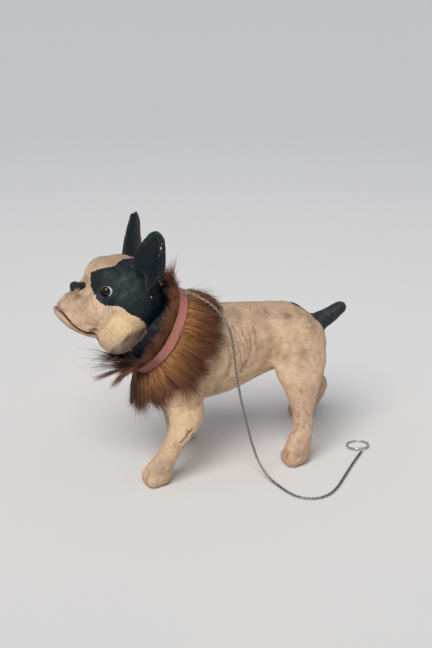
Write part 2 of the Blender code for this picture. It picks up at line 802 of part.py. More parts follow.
def collar_loop():
    """A small wire eye that stands on the collar near its top, where the chain begins."""
    turn = math.radians(COLLAR_LOOP_TURN_DEG)
    beyond = HAIR_UNDER_COLLAR + 3 * TOUCH_GAP + COLLAR_THICKNESS
    foot = around_neck(turn, 0, beyond)
    out = (around_neck(turn, 0, beyond + 0.01) - foot).normalized()
    place = foot + out * (LOOP_RADIUS + LOOP_WIRE_RADIUS + TOUCH_GAP)
    way = Matrix((NECK_AXIS, out, NECK_AXIS.cross(out))).transposed()
    return torus("collar_loop", LOOP_RADIUS, LOOP_WIRE_RADIUS, place, way.to_euler(), 14, 6, STEEL)


def pull_ring():
    lift = RING_WIRE_RADIUS + RING_RADIUS * math.sin(math.radians(RING_TILT_DEG))
    place = Vector((RING_CENTRE_X, RING_CENTRE_Y, lift))
    turn = (-math.radians(RING_TILT_DEG), 0, 0)
    return torus("pull_ring", RING_RADIUS, RING_WIRE_RADIUS, place, turn, 24, 6, STEEL)


def smooth_line(points, step):
    """A curve through every point, read at even steps."""
    route = [Vector(point) for point in points]
    ends = [2 * route[0] - route[1]] + route + [2 * route[-1] - route[-2]]
    fine = []
    for a, b, c, d in zip(ends, ends[1:], ends[2:], ends[3:]):
        for i in range(24):
            t = i / 24
            spread = 2 * b + (c - a) * t + (2 * a - 5 * b + 4 * c - d) * t**2 + (3 * b - a - 3 * c + d) * t**3
            fine.append(spread / 2)
    fine.append(route[-1])
    lengths = [0.0]
    for start, end in zip(fine, fine[1:]):
        lengths.append(lengths[-1] + (end - start).length)
    count = max(2, round(lengths[-1] / step))
    line = []
    for i in range(count + 1):
        want = lengths[-1] * i / count
        k = min(max(j for j, length in enumerate(lengths) if length <= want), len(fine) - 2)
        share = (want - lengths[k]) / max(lengths[k + 1] - lengths[k], 1e-9)
        line.append(fine[k].lerp(fine[k + 1], share))
    return line


def chain():
    """The chain's outer shape, a plain tube along its route."""
    curve = bpy.data.curves.new("chain", "CURVE")
    curve.dimensions = "3D"
    curve.bevel_depth = CHAIN_DIAMETER / 2
    curve.bevel_resolution = 2
    curve.use_fill_caps = True
    line = smooth_line(CHAIN_ROUTE, CHAIN_POINT_STEP)
    spline = curve.splines.new("POLY")
    spline.points.add(len(line) - 1)
    for point, place in zip(spline.points, line):
        point.co = (*place, 1)
    curve.materials.append(STEEL)
    made = bpy.data.objects.new("chain", curve)
    bpy.context.scene.collection.objects.link(made)
    return made


def set_origin(made, place):
    """Moves the object's origin to its joint and leaves its shape where it is."""
    made.data.transform(Matrix.Translation(-place))
    made.location = place


def shade(made):
    made.data.shade_smooth()
    made.data.set_sharp_from_angle(angle=math.radians(50))


for item in list(bpy.data.objects):
    bpy.data.objects.remove(item)

PAINTED_PULP = material("painted_pulp", (0.66, 0.48, 0.33), 0.72)
DARK_GLASS = material("dark_glass", (0.02, 0.015, 0.012), 0.06)
PINK_LEATHER = material("pink_leather", (0.52, 0.17, 0.16), 0.6)
BRISTLE = material("bristle", (0.24, 0.10, 0.045), 0.75)
STEEL = material("steel", (0.42, 0.40, 0.36), 0.38, 1.0)

trunk_piece, trunk_under_hair = body()
head_piece = head()
jaw_piece = jaw()
eyes = [eye(NEAR_SIDE, "eye_left"), eye(FAR_SIDE, "eye_right")]
figure = [trunk_piece, head_piece, jaw_piece, *eyes, ruff(trunk_under_hair), collar(), collar_loop()]
lead = [chain(), pull_ring()]

set_origin(head_piece, NECK_AT)
set_origin(jaw_piece, at(JAW_HINGE))
bpy.context.view_layer.update()
corners = [made.matrix_world @ Vector(corner) for made in figure for corner in made.bound_box]
middle_x = (min(corner.x for corner in corners) + max(corner.x for corner in corners)) / 2
middle_y = (min(corner.y for corner in corners) + max(corner.y for corner in corners)) / 2

stand = bpy.data.objects.new("stand", None)
stand.location = (-middle_x, -middle_y, 0)
bpy.context.scene.collection.objects.link(stand)
for made in figure + lead:
    if made.type == "MESH":
        shade(made)
    made.parent = stand
for made in (jaw_piece, *eyes):
    made.parent = head_piece
    made.location = made.location - head_piece.location
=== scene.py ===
"""The looks of an old papier-mache pull toy: a bulldog with a nodding head and a jaw that drops, glass eyes,
a bristle ruff under a pink leather collar, and a light chain with a finger ring.

The dog looks along -X and its left side is towards -Y. Places on the figure are in figure millimetres from
a floor point between its feet, which the nodding joint gives.
"""

import json
import math

import bpy
import numpy as np
from bpy.props import FloatProperty, FloatVectorProperty, IntProperty, PointerProperty
from mathutils import Euler, Matrix, Vector, noise
from mathutils.bvhtree import BVHTree


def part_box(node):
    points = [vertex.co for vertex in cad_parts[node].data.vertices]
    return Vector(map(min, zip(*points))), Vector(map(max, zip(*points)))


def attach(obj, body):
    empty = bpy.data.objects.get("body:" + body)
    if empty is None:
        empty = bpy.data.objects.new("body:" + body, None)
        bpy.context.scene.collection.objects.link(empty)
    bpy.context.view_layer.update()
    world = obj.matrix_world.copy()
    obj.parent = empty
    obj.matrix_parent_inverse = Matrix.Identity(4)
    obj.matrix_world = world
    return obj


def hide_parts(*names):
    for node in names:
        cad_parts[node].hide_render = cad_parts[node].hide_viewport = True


bl_info = {
    "name": "Papier-mache bulldog",
    "version": (1, 0, 0),
    "blender": (4, 5, 0),
    "location": "3D View > Sidebar > Bulldog",
    "description": "Makes the looks of an old papier-mache bulldog pull toy, piece by piece",
    "category": "Object",
}

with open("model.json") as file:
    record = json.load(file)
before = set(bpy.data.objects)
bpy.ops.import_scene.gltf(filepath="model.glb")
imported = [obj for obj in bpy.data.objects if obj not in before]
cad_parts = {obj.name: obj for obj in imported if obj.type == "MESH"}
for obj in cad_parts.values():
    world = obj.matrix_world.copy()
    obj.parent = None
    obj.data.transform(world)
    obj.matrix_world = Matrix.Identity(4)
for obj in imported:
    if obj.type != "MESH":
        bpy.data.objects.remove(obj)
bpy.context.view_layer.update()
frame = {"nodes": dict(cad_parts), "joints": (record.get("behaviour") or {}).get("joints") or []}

MM = 0.001
JOINTS = {joint["name"]: joint for joint in frame["joints"]}
NECK_AT = Vector(JOINTS["head_nod"]["pos_m"])
NECK_PLACE = (-67, 0, 243)
FLOOR_POINT = NECK_AT - Vector(NECK_PLACE) * MM
NEAR, FAR = -1, 1


def at(place):
    """A place on the figure, from figure millimetres."""
    return FLOOR_POINT + Vector(place) * MM


def mirrored(place):
    return (place[0], -place[1], place[2])


# The neck, as the band and the bristles go round it.
NECK_RISE_DEG = 32.7
NECK_TALL = 72 * MM
NECK_WIDE = 65 * MM
NECK_AXIS = Vector((-math.cos(math.radians(NECK_RISE_DEG)), 0, math.sin(math.radians(NECK_RISE_DEG))))
NECK_DOWN = Vector((-math.sin(math.radians(NECK_RISE_DEG)), 0, -math.cos(math.radians(NECK_RISE_DEG))))


def around_neck(turn, along, beyond):
    """The point at an angle round the neck from its top, along it towards the head, beyond its skin."""
    tall = (NECK_TALL + beyond) * math.cos(turn)
    wide = (NECK_WIDE + beyond) * math.sin(turn)
    return NECK_AT + NECK_AXIS * along - NECK_DOWN * tall - Vector((0, wide, 0))


# The chain's way from its eye on the collar down to the floor and out to the ring.
CHAIN_ROUTE = [
    (-29, -30, 313.5), (-18, -37, 309), (-4, -45, 302), (12, -56, 290), (27, -68, 270), (34, -77, 245),
    (37, -81, 215), (40, -84, 177), (44.5, -88, 145), (52, -95.5, 102), (60, -104.5, 60), (69, -114, 28),
    (78, -125, 8.5), (85, -140, 2.6), (89, -162, 2.5), (96, -190, 2.5), (112, -211, 2.5), (137, -217, 2.5),
    (166, -202, 2.5), (196, -169, 2.5), (226, -134, 2.5), (252, -105, 2.5), (269, -87, 2.8),
]


def tint(name, description, default):
    words = {"name": name, "description": description}
    return FloatVectorProperty(**words, subtype="COLOR", default=default, min=0, max=1)


def measure(name, description, default, least):
    return FloatProperty(name=name, description=description, default=default, min=least, unit="LENGTH")


def strength(name, description, default):
    return FloatProperty(name=name, description=description, default=default, min=0)


def number(name, description, default, least):
    return IntProperty(name=name, description=description, default=default, min=least)


class PaintProps(bpy.types.PropertyGroup):
    cream: tint("Cream", "Aged cream paint", (0.56, 0.375, 0.235))
    chalk: tint("Chalky cream", "Bleached paint", (0.68, 0.495, 0.335))
    # Pale cream is also the colour of painted light on the cheeks and on the near foreleg.
    pale: tint("Pale cream", "Cleaner paint", (0.80, 0.575, 0.325))
    rosy: tint("Rosy cream", "Pinker paint", (0.54, 0.335, 0.235))
    grime: tint("Grime", "Grey-brown stains", (0.215, 0.155, 0.105))
    # Black is the patches' paint as it looks in shade; scuffed black is rubbed black and also that paint lit,
    # greyed by a painted sheen.
    black: tint("Black", "Blue-black patches", (0.0035, 0.009, 0.014))
    scuffed: tint("Scuffed black", "Rubbed black", (0.060, 0.072, 0.070))
    lip: tint("Lip", "Faded red of the mouth", (0.24, 0.080, 0.055))
    pulp: tint("Bare pulp", "Brown pulp under the paint", (0.20, 0.115, 0.062))


class FigureProps(bpy.types.PropertyGroup):
    body_step: measure("Body step", "Mesh step of the body's skin", 2.03 * MM, 0.001)
    head_step: measure("Head step", "Mesh step of the head's skin", 1.35 * MM, 0.001)
    jaw_step: measure("Jaw step", "Mesh step of the jaw's skin", 0.9 * MM, 0.0005)
    unevenness: measure("Unevenness", "Height of the pulp's hand-made lumps", 0.7 * MM, 0)


class RuffProps(bpy.types.PropertyGroup):
    cape_hairs: number("Cape bristles", "Bristles behind the collar", 7000, 100)
    front_hairs: number("Front bristles", "Bristles before the collar", 3600, 100)
    clumps: number("Clumps", "Locks round the cape", 84, 8)
    hair_radius: measure("Bristle radius", "At the root", 0.30 * MM, 0.0001)


class CollarProps(bpy.types.PropertyGroup):
    width: measure("Width", "Width of the band", 0.017, 0.005)
    thickness: measure("Thickness", "Of the leather", 0.0018, 0.0005)
    leather: tint("Leather", "Faded red leather", (0.43, 0.16, 0.125))
    # Dark leather is partly painted shade on the band's underside.
    leather_dark: tint("Dark leather", "Less faded low down", (0.27, 0.075, 0.078))


class ChainProps(bpy.types.PropertyGroup):
    diameter: measure("Width", "Over the links", 0.0044, 0.001)
    link_length: measure("Link", "Length of a link", 0.0072, 0.002)
    link_width: measure("Link width", "Width of a link", 0.0052, 0.001)
    wire: measure("Wire", "Radius of the wire", 0.00076, 0.0002)
    steel: tint("Steel", "Dull old steel", (0.52, 0.48, 0.40))


class StageProps(bpy.types.PropertyGroup):
    floor: tint("Floor", "Pale floor", (0.70, 0.695, 0.68))
    # The far floor colour is painted shade, where the light falls off.
    floor_away: tint("Floor away", "Floor far off", (0.53, 0.54, 0.55))
    key_power: strength("Key light", "Strength from the upper left", 2.55)
    sky: strength("Sky", "Strength of the even light", 0.43)


class Finish:
    """A material's nodes, while they are being wired."""

    def __init__(self, name, **sockets):
        self.made = bpy.data.materials.new(name)
        self.made.use_nodes = True
        self.tree = self.made.node_tree
        self.shader = self.tree.nodes["Principled BSDF"]
        for socket, value in sockets.items():
            self.shader.inputs[socket.replace("_", " ")].default_value = value
        self.place = self.tree.nodes.new("ShaderNodeTexCoord").outputs["Object"]

    def node(self, kind, inputs, output=0, **settings):
        made = self.tree.nodes.new("ShaderNode" + kind)
        for name, value in settings.items():
            setattr(made, name, value)
        for key, value in inputs.items():
            self.feed(made.inputs[key], value)
        return made.outputs[output]

    def feed(self, socket, value):
        if isinstance(value, bpy.types.NodeSocket):
            self.tree.links.new(value, socket)
        else:
            if socket.type == "RGBA" and len(value) == 3:
                value = (*value, 1)
            socket.default_value = value

    def noise(self, scale, detail=6, rough=0.6, warp=0.0, place=None):
        inputs = {"Vector": place or self.place, "Scale": scale, "Detail": detail, "Roughness": rough}
        return self.node("TexNoise", inputs | {"Distortion": warp})

    def cells(self, scale, feature, place=None):
        return self.node("TexVoronoi", {"Vector": place or self.place, "Scale": scale}, feature=feature)

    def span(self, value, low, high, to_low=0.0, to_high=1.0):
        """The value's place between low and high, eased at both ends."""
        inputs = {"Value": value, "From Min": low, "From Max": high, "To Min": to_low, "To Max": to_high}
        return self.node("MapRange", inputs, interpolation_type="SMOOTHSTEP")

    def math(self, operation, a, b=0.0):
        return self.node("Math", {0: a, 1: b}, operation=operation)

    def times(self, a, b):
        return self.math("MULTIPLY", a, b)

    def plus(self, a, b):
        return self.math("ADD", a, b)

    def minus(self, a, b):
        return self.math("SUBTRACT", a, b)

    def mix(self, share, a, b):
        return self.node("Mix", {0: share, 6: a, 7: b}, 2, data_type="RGBA")

    def attribute(self, name):
        return self.node("Attribute", {}, "Fac", attribute_name=name)

    def moved(self, amount, scale):
        """The place, shifted about by a noise, so that lines on it run unevenly."""
        cloud = self.node("TexNoise", {"Vector": self.place, "Scale": scale, "Detail": 3}, "Color")
        shift = self.node("VectorMath", {0: cloud, 1: (0.5, 0.5, 0.5)}, operation="SUBTRACT")
        scaled = self.node("VectorMath", {0: shift, "Scale": amount}, operation="SCALE")
        return self.node("VectorMath", {0: self.place, 1: scaled}, operation="ADD")

    def wire(self, color, roughness=None, height=None, distance=0.0005, strength=1.0):
        self.feed(self.shader.inputs["Base Color"], color)
        if roughness is not None:
            self.feed(self.shader.inputs["Roughness"], roughness)
        if height is not None:
            inputs = {"Height": height, "Distance": distance, "Strength": strength}
            self.feed(self.shader.inputs["Normal"], self.node("Bump", inputs))
        return self.made


CRAZE = (0.16, 0.10, 0.065)
GROOVE_DIRT = (0.13, 0.085, 0.055)
SCRATCH = (0.12, 0.13, 0.125)
CHIP = (0.62, 0.42, 0.34)
PULP_LIGHT = (0.36, 0.22, 0.13)


def painted_pulp(paint):
    """Aged cream paint with stains, specks and crackle, and blue-black patches with ragged, chipped edges."""
    f = Finish("aged_paint", Specular_IOR_Level=0.25)
    blotch = f.noise(13, 6, 0.62)
    cloud = f.noise(48, 8, 0.68)
    pits = f.noise(240, 7, 0.62)
    grain = f.noise(1100, 4, 0.6)
    cream = f.mix(f.span(cloud, 0.38, 0.62), paint.cream[:], paint.chalk[:])
    cream = f.mix(f.times(f.span(blotch, 0.42, 0.66), 0.70), cream, paint.rosy[:])
    flakes = f.span(f.noise(150, 8, 0.75, 0.3), 0.52, 0.60, 0.0, 0.40)
    cream = f.mix(flakes, cream, paint.pale[:])
    # Paler pools: the head's cream cheeks, their own paint and partly painted light, and a painted highlight
    # on the near foreleg; fewer specks there.
    cream = f.mix(f.attribute("bright"), cream, paint.pale[:])
    speckle = f.span(pits, 0.54, 0.72, 0.0, 0.50)
    speckle = f.times(speckle, f.minus(1.0, f.times(f.attribute("bright"), 0.7)))
    cream = f.mix(speckle, cream, paint.grime[:])

    drift = f.noise(30, 9, 0.72, 0.4)
    # Darker stains and soot: real stains and dust, painted shade on the facet under each cheek, and darker
    # towards the bottom of the jaw and towards the floor on the feet.
    stain = f.times(f.attribute("stain"), f.span(drift, 0.40, 0.60))
    stain = f.math("MAXIMUM", stain, f.span(drift, 0.50, 0.74, 0.0, 0.50))
    stain = f.plus(stain, f.times(f.attribute("soot"), f.span(cloud, 0.25, 0.5, 0.75, 1.0)))
    cream = f.mix(f.times(stain, 0.66), cream, paint.grime[:])
    crackle = f.cells(105, "DISTANCE_TO_EDGE", f.moved(0.012, 60))
    craze = f.span(crackle, 0.0, 0.05, 1.0, 0.0)
    craze = f.times(craze, f.span(f.noise(22, 4), 0.47, 0.60))
    cream = f.mix(f.times(craze, 0.28), cream, CRAZE)
    # Darker in grooves and hollows: grime in them, and painted shade where the relief is deep.
    cream = f.mix(f.times(f.attribute("hollow"), 0.45), cream, GROOVE_DIRT)
    cream = f.mix(f.times(f.attribute("pink"), 0.85), cream, paint.lip[:])

    ragged = f.plus(f.attribute("patch"), f.times(f.minus(f.noise(190, 5), 0.5), 7.0))
    ragged = f.plus(ragged, f.times(f.minus(f.noise(900, 3), 0.5), 2.5))
    is_black = f.span(ragged, -0.25, 0.25)
    # The black is greyed where it is rubbed: wear, and on the head's cheeks and ear rims painted sheen and
    # highlight where the light falls.
    rubbed = f.span(f.noise(70, 9, 0.75, 0.6), 0.44, 0.70)
    worn = f.attribute("rubbed")
    rubbed = f.times(f.plus(f.times(rubbed, 0.72), 0.26), worn)
    black = f.mix(rubbed, paint.black[:], paint.scuffed[:])
    scratch = f.span(f.noise(520, 6, 0.7), 0.62, 0.72, 0.0, 0.5)
    black = f.mix(f.times(scratch, f.plus(worn, 0.25)), black, SCRATCH)
    flecks = f.span(f.noise(330, 5, 0.7), 0.70, 0.74)
    black = f.mix(f.times(flecks, 0.6), black, paint.cream[:])
    color = f.mix(is_black, cream, black)

    chipped = f.plus(f.attribute("chips"), f.minus(f.noise(260, 6, 0.65), 0.5))
    color = f.mix(f.span(chipped, 0.58, 0.66), color, CHIP)
    bare = f.plus(f.attribute("bare"), f.minus(f.noise(330, 6, 0.7), 0.5))
    is_bare = f.span(bare, 0.50, 0.56)
    color = f.mix(is_bare, color, f.mix(pits, paint.pulp[:], PULP_LIGHT))

    height = f.plus(f.times(pits, 1.2), f.times(grain, 0.22))
    height = f.plus(height, f.times(flakes, 0.5))
    height = f.minus(height, f.times(craze, 0.35))
    height = f.minus(height, f.times(is_black, 0.25))
    height = f.minus(height, f.times(is_bare, 0.8))
    rough = f.mix(is_black, f.span(cloud, 0.3, 0.7, 0.66, 0.82), f.span(pits, 0.4, 0.7, 0.36, 0.55))
    return f.wire(color, rough, height, 0.0009, 0.85)


def deselect():
    for item in bpy.context.selected_objects:
        item.select_set(False)


def pick(piece):
    deselect()
    piece.select_set(True)
    bpy.context.view_layer.objects.active = piece


def placed(name, data):
    """A new object in the scene, over the data given."""
    made = bpy.data.objects.new(name, data)
    bpy.context.scene.collection.objects.link(made)
    return made


def apply_all(piece):
    pick(piece)
    for modifier in list(piece.modifiers):
        bpy.ops.object.modifier_apply(modifier=modifier.name)


def dress(piece, finish, body):
    piece.data.materials.clear()
    piece.data.materials.append(finish)
    for face in piece.data.polygons:
        face.material_index = 0
    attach(piece, body)


def dress_painted(piece, body):
    piece.data.shade_smooth()
    dress(piece, bpy.data.materials["aged_paint"], body)


def tidy_faces(piece, merge=0.0):
    """Merges doubles, where a distance is given, and points the faces outwards."""
    pick(piece)
    bpy.ops.object.mode_set(mode="EDIT")
    bpy.ops.mesh.select_all(action="SELECT")
    if merge:
        bpy.ops.mesh.remove_doubles(threshold=merge)
    bpy.ops.mesh.normals_make_consistent(inside=False)
    bpy.ops.object.mode_set(mode="OBJECT")


def fine_skin(name, node, step, soften):
    """A fine, softened skin over a copy of one of the frame's solids."""
    piece = placed(name, frame["nodes"][node].data.copy())
    pick(piece)
    bpy.ops.object.mode_set(mode="EDIT")
    bpy.ops.mesh.select_all(action="SELECT")
    bpy.ops.mesh.remove_doubles(threshold=0.00001)
    bpy.ops.object.mode_set(mode="OBJECT")
    skin = piece.modifiers.new("Skin", "REMESH")
    skin.mode = "VOXEL"
    skin.voxel_size = step
    soft = piece.modifiers.new("Soft", "SMOOTH")
    soft.factor = 0.5
    soft.iterations = soften
    apply_all(piece)
    return piece


def inside_by(points, outline):
    """How far inside a closed outline each point is, and less than nothing outside it."""
    corners = np.array(outline, float)
    nearest = np.full(len(points), 1e9)
    inside = np.zeros(len(points), bool)
    for a, b in zip(corners, np.roll(corners, -1, 0)):
        way = b - a
        share = np.clip((points - a) @ way / (way @ way), 0, 1)
        nearest = np.minimum(nearest, np.hypot(*(points - a - share[:, None] * way).T))
        level = (a[1] > points[:, 1]) != (b[1] > points[:, 1])
        cross = a[0] + (points[:, 1] - a[1]) * way[0] / (way[1] if way[1] else 1e-9)
        inside ^= level & (points[:, 0] < cross)
    return np.where(inside, nearest, -nearest)


def ease(values, low, high):
    share = np.clip((values - low) / (high - low), 0, 1)
    return share * share * (3 - 2 * share)


PAINT_FIELDS = ("patch", "rubbed", "hollow", "stain", "soot", "bare", "chips", "bright", "pink")


class Clay:
    """Moves a fine skin in and out along its normals, as a modeller's thumb and knife do. Its places, sizes
    and depths are in figure millimetres."""

    def __init__(self, piece):
        self.piece = piece
        self.read()

    def read(self):
        mesh = self.piece.data
        flat = np.empty(len(mesh.vertices) * 3)
        mesh.vertices.foreach_get("co", flat)
        self.points = (flat.reshape(-1, 3) - np.array(FLOOR_POINT)) / MM
        normals = np.empty(len(mesh.vertices) * 3)
        mesh.vertices.foreach_get("normal", normals)
        self.normals = normals.reshape(-1, 3)
        self.skin = BVHTree.FromPolygons(self.points.tolist(), [face.vertices for face in mesh.polygons])

    def write(self):
        world = self.points * MM + np.array(FLOOR_POINT)
        self.piece.data.vertices.foreach_set("co", world.ravel())
        self.piece.data.update()

    def refresh(self):
        self.write()
        self.read()

    def from_line(self, places):
        """How far each point is from the line through the places, laid on the skin."""
        line = []
        for start, end in zip(places[:-1], places[1:]):
            for share in (0, 0.25, 0.5, 0.75):
                line.append(Vector(start).lerp(Vector(end), share))
        line.append(Vector(places[-1]))
        line = np.array([self.skin.find_nearest(point)[0] for point in line])
        near = np.full(len(self.points), 1e9)
        for start, end in zip(line[:-1], line[1:]):
            way = end - start
            share = np.clip((self.points - start) @ way / (way @ way + 1e-12), 0, 1)
            near = np.minimum(near, ((self.points - start - share[:, None] * way) ** 2).sum(1))
        return np.sqrt(near)

    def from_lines(self, lines):
        return np.min([self.from_line(line) for line in lines], 0)

    def near_place(self, place, radii):
        spread = ((self.points - np.array(place)) / np.array(radii)) ** 2
        return np.exp(-2 * spread.sum(1))

    def near_pair(self, place, radii):
        return self.near_place(place, radii) + self.near_place(mirrored(place), radii)

    def near_spots(self, spots):
        return np.max([self.near_place(place, (size,) * 3) for place, size in spots], 0)

    def push(self, amount):
        self.points += self.normals * amount[:, None]

    def press(self, place, radii, depth):
        self.push(-depth * self.near_place(place, radii))

    def groove(self, places, width, depth):
        self.push(-depth * np.exp(-((self.from_line(places) / width) ** 2)))

    def both(self, tool, places, *rest):
        """Uses a tool on the left side and again on the right."""
        one = not isinstance(places[0], tuple)
        tool(places, *rest)
        tool(mirrored(places) if one else [mirrored(place) for place in places], *rest)

    def shave(self, place, normal, side, reach):
        """Cuts a flat facet: what stands past a plane is brought back to it, near the place."""
        way = np.array(Vector(normal).normalized())
        over = np.maximum((self.points - np.array(place)) @ way, 0)
        near = np.linalg.norm(self.points - np.array(place), axis=1)
        over *= ease(-near, -reach, -reach * 0.75) * (self.points[:, 1] * side > 0)
        self.points -= over[:, None] * way

    def lumps(self, size, height, seed):
        """Uneven pulp: soft lumps of a size."""
        shift = Vector((seed * 7.3, seed * 3.1, seed * 5.7))
        cloud = [noise.noise(Vector(point) / size + shift) for point in self.points]
        self.push(height * np.array(cloud))

    def hollows(self, steps, full):
        """Where the skin is hollow, from 0 on flats and ridges to 1 in deep grooves."""
        mesh = self.piece.data
        count = len(mesh.vertices)
        ends = np.empty(len(mesh.edges) * 2, int)
        mesh.edges.foreach_get("vertices", ends)
        a, b = ends.reshape(-1, 2).T
        around = np.bincount(a, minlength=count) + np.bincount(b, minlength=count)
        soft = self.points.copy()
        for _ in range(steps):
            total = np.zeros_like(soft)
            for k in range(3):
                total[:, k] = np.bincount(a, soft[b, k], count) + np.bincount(b, soft[a, k], count)
            soft = total / np.maximum(around, 1)[:, None]
        return np.clip(((soft - self.points) * self.normals).sum(1) / full, 0, 1)

    def mark(self, **fields):
        """Keeps values for the finish, one for each point."""
        for name, values in fields.items():
            attribute = self.piece.data.attributes.new(name, "FLOAT", "POINT")
            attribute.data.foreach_set("value", np.full(len(self.points), values, np.float32))

    def mark_paint(self, **fields):
        """Keeps all that the paint reads, and nothing where no value is given."""
        self.mark(**dict.fromkeys(PAINT_FIELDS, 0.0) | fields)

    def unevenly(self, figure, seed, *sizes):
        """Lumps of a few sizes, each a share of the figure's unevenness high."""
        for i, (size, share) in enumerate(sizes):
            self.lumps(size, figure.unevenness / MM * share, seed + i)


FLANK_FOLDS = [
    [(50, 44, 246), (56, 46, 234), (61, 52, 220), (66, 56, 204), (66, 56, 186), (60, 52, 168)],
    [(54, 40, 256), (64, 43, 252), (73, 46, 240), (78, 49, 226), (78, 53, 208), (73, 56, 190), (68, 52, 172)],
    [(56, 42, 248), (64, 45, 240), (70, 49, 226), (72, 54, 210), (70, 56, 194), (65, 54, 178)],
    [(86, 46, 240), (89, 50, 228), (88, 52, 214)],
    [(49, 44, 228), (53, 48, 214), (57, 52, 200), (58, 52, 184)],
]
SHOULDER_FOLDS = [[(24, 60, 246), (36, 62, 224), (42, 64, 196), (36, 62, 166)]]
LEG_CUTS = [
    [(-76, -72, 131), (-55, -84, 139), (-38, -87, 139), (-21, -79, 134)],
    [(-70, 66, 131), (-46, 78, 138), (-28, 80, 138), (-10, 74, 134)],
]
HIND_CRACKS = [
    [(156, -93, 106), (160, -94, 98), (166, -94, 88)], [(161, -95, 82), (157, -97, 74), (155, -97, 68)],
    [(147, -88, 74), (146, -88, 66), (140, -86, 58)], [(150, -90, 94), (147, -88, 86)],
    [(163, -93, 76), (167, -92, 70)],
]
TORN_PAINT = [
    [(-39, -91, 98), (-45, -92, 91), (-51, -92, 84), (-60, -92, 77)], [(-46, -91, 95), (-49, -92, 88)],
    [(-36, -89, 88), (-39, -90, 84)], [(-50, -90, 69), (-53, -90, 66)],
]
STAINS = [
    ((147, -56, 207), 26), ((132, -59, 188), 20), ((162, -63, 196), 26), ((190, -69, 178), 20),
    ((152, -88, 133), 13), ((80, -46, 228), 22), ((92, -50, 206), 18), ((150, -34, 246), 26),
    ((184, -50, 230), 20), ((108, -25, 258), 26), ((60, -30, 262), 22), ((20, -50, 140), 26),
    ((-92, -90, 34), 26), ((-60, -84, 70), 16), ((148, -92, 52), 18), ((150, -96, 24), 20),
    ((250, 88, 60), 40), ((160, 60, 200), 44), ((70, 50, 210), 36),
]
# The black on the croup and round the tail, seen from above.
SADDLE = [
    (156, 10), (172, 15), (188, 13), (198, -2), (207, -17), (215, -25), (224, -27), (242, -32), (300, -40),
    (300, 60), (236, 46), (214, 52), (188, 50), (168, 36),
]
SADDLE_LOW = 197
TOE_STEP = 11
PAWS = [(-94, -71), (-1, 72), (148, -81), (234, 91)]


class BULLDOG_OT_body(bpy.types.Operator):
    """Carves and paints the body over its solid"""

    bl_idname = "bulldog.body"
    bl_label = "Body"

    def execute(self, context):
        figure = context.scene.bulldog_figure
        piece = fine_skin("painted_body", "body", figure.body_step, 7)
        clay = Clay(piece)
        for fold in FLANK_FOLDS:
            clay.both(clay.groove, fold, 2.2, 1.5)
        for fold in SHOULDER_FOLDS:
            clay.both(clay.groove, fold, 4.0, 1.2)
        clay.both(clay.groove, [(112, 50, 236), (118, 52, 216), (122, 54, 196), (128, 58, 176)], 7, 1.6)
        for cut in LEG_CUTS:
            clay.groove(cut, 2.6, 0.9)
        clay.both(clay.press, (196, 66, 178), (16, 14, 26), 1.6)
        clay.both(clay.press, (146, 60, 196), (14, 12, 26), 1.4)
        for crack in HIND_CRACKS:
            clay.groove(crack, 1.5, 1.2)
        for x, y in PAWS:
            for step in (-1, 0, 1):
                toe = y + step * TOE_STEP
                clay.groove([(x - 33, toe, 1), (x - 29, toe, 12), (x - 20, toe, 25)], 1.9, 2.0)
            clay.press((x - 8, y, 38), (18, 20, 10), 0.8)
        torn = clay.from_lines(TORN_PAINT)
        clay.push(-0.5 * ease(-torn, -3.4, -2.2))
        clay.refresh()
        clay.unevenly(figure, 1, (34, 1.3), (13, 1.0), (5, 0.65))
        clay.points[:, 2] = np.maximum(clay.points[:, 2], 0)
        clay.refresh()
        _, y, z = clay.points.T
        low = SADDLE_LOW + np.maximum(y - 8, 0) ** 2 / 55
        saddle = np.minimum(inside_by(clay.points[:, :2], SADDLE), z - low)
        up_neck = (clay.points - np.array(NECK_PLACE)) @ np.array(NECK_AXIS) + 24
        cracks = clay.from_lines(HIND_CRACKS)
        top = ease(clay.normals[:, 2], 0.35, 0.95) * (z > 150)
        feet = ease(-z, -38, -4)
        clay.mark_paint(
            patch=np.maximum(saddle, up_neck),
            rubbed=0.75,
            # Grooves and cracks darker: grime, and painted shade in the folds.
            hollow=np.maximum(clay.hollows(6, 0.9), 0.9 * ease(-cracks, -1.6, -0.6)),
            stain=clay.near_spots(STAINS),
            # Darker on upward faces, as dust, and darker towards the floor on the feet.
            soot=np.clip(0.42 * top + 0.20 * feet, 0, 1),
            bare=0.62 * ease(-torn, -4.0, -1.0) + 0.25 * clay.near_place((160, -94, 84), (14, 14, 20)),
            chips=clay.near_place((272, -10, 240), (5, 5, 6)),
            # Painted highlight: a paler pool on the near foreleg where the light falls.
            bright=0.8 * clay.near_place((-42, -85, 112), (34, 24, 44)),
        )
        dress_painted(piece, "root")
        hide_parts("body")
        return {"FINISHED"}


# The black patch on each side of the head, seen from the side, and how wide the blaze between them is.
FACE_PATCH = [
    (-177, 372), (-179, 360), (-181, 345), (-181, 334), (-180, 326), (-176, 320), (-171, 316), (-163, 313),
    (-154, 312), (-146, 311), (-140, 308), (-134, 301), (-126, 296), (-115, 289), (-106, 279), (-97, 266),
    (-97, 257), (-104, 246), (-113, 230), (-122, 216), (-130, 190), (60, 190), (60, 460), (-177, 460),
]
BLAZE = [
    (-180, 11), (-172, 17), (-161, 25), (-150, 28), (-143, 25), (-135, 18), (-125, 13), (-112, 9),
    (-104, 2), (-98, -9),
]
NOSE_PLACE = (-197, 0, 332)
NOSE_RADII = (14, 16, 9.5)
MOUTH_LINE = [
    (-228, 0, 303), (-227, -13, 302), (-224, -20, 292), (-218, -29, 281), (-209, -33, 271),
    (-199, -36, 266), (-189, -39, 262),
]
MOUTH_LINES = [MOUTH_LINE, [mirrored(place) for place in MOUTH_LINE]]
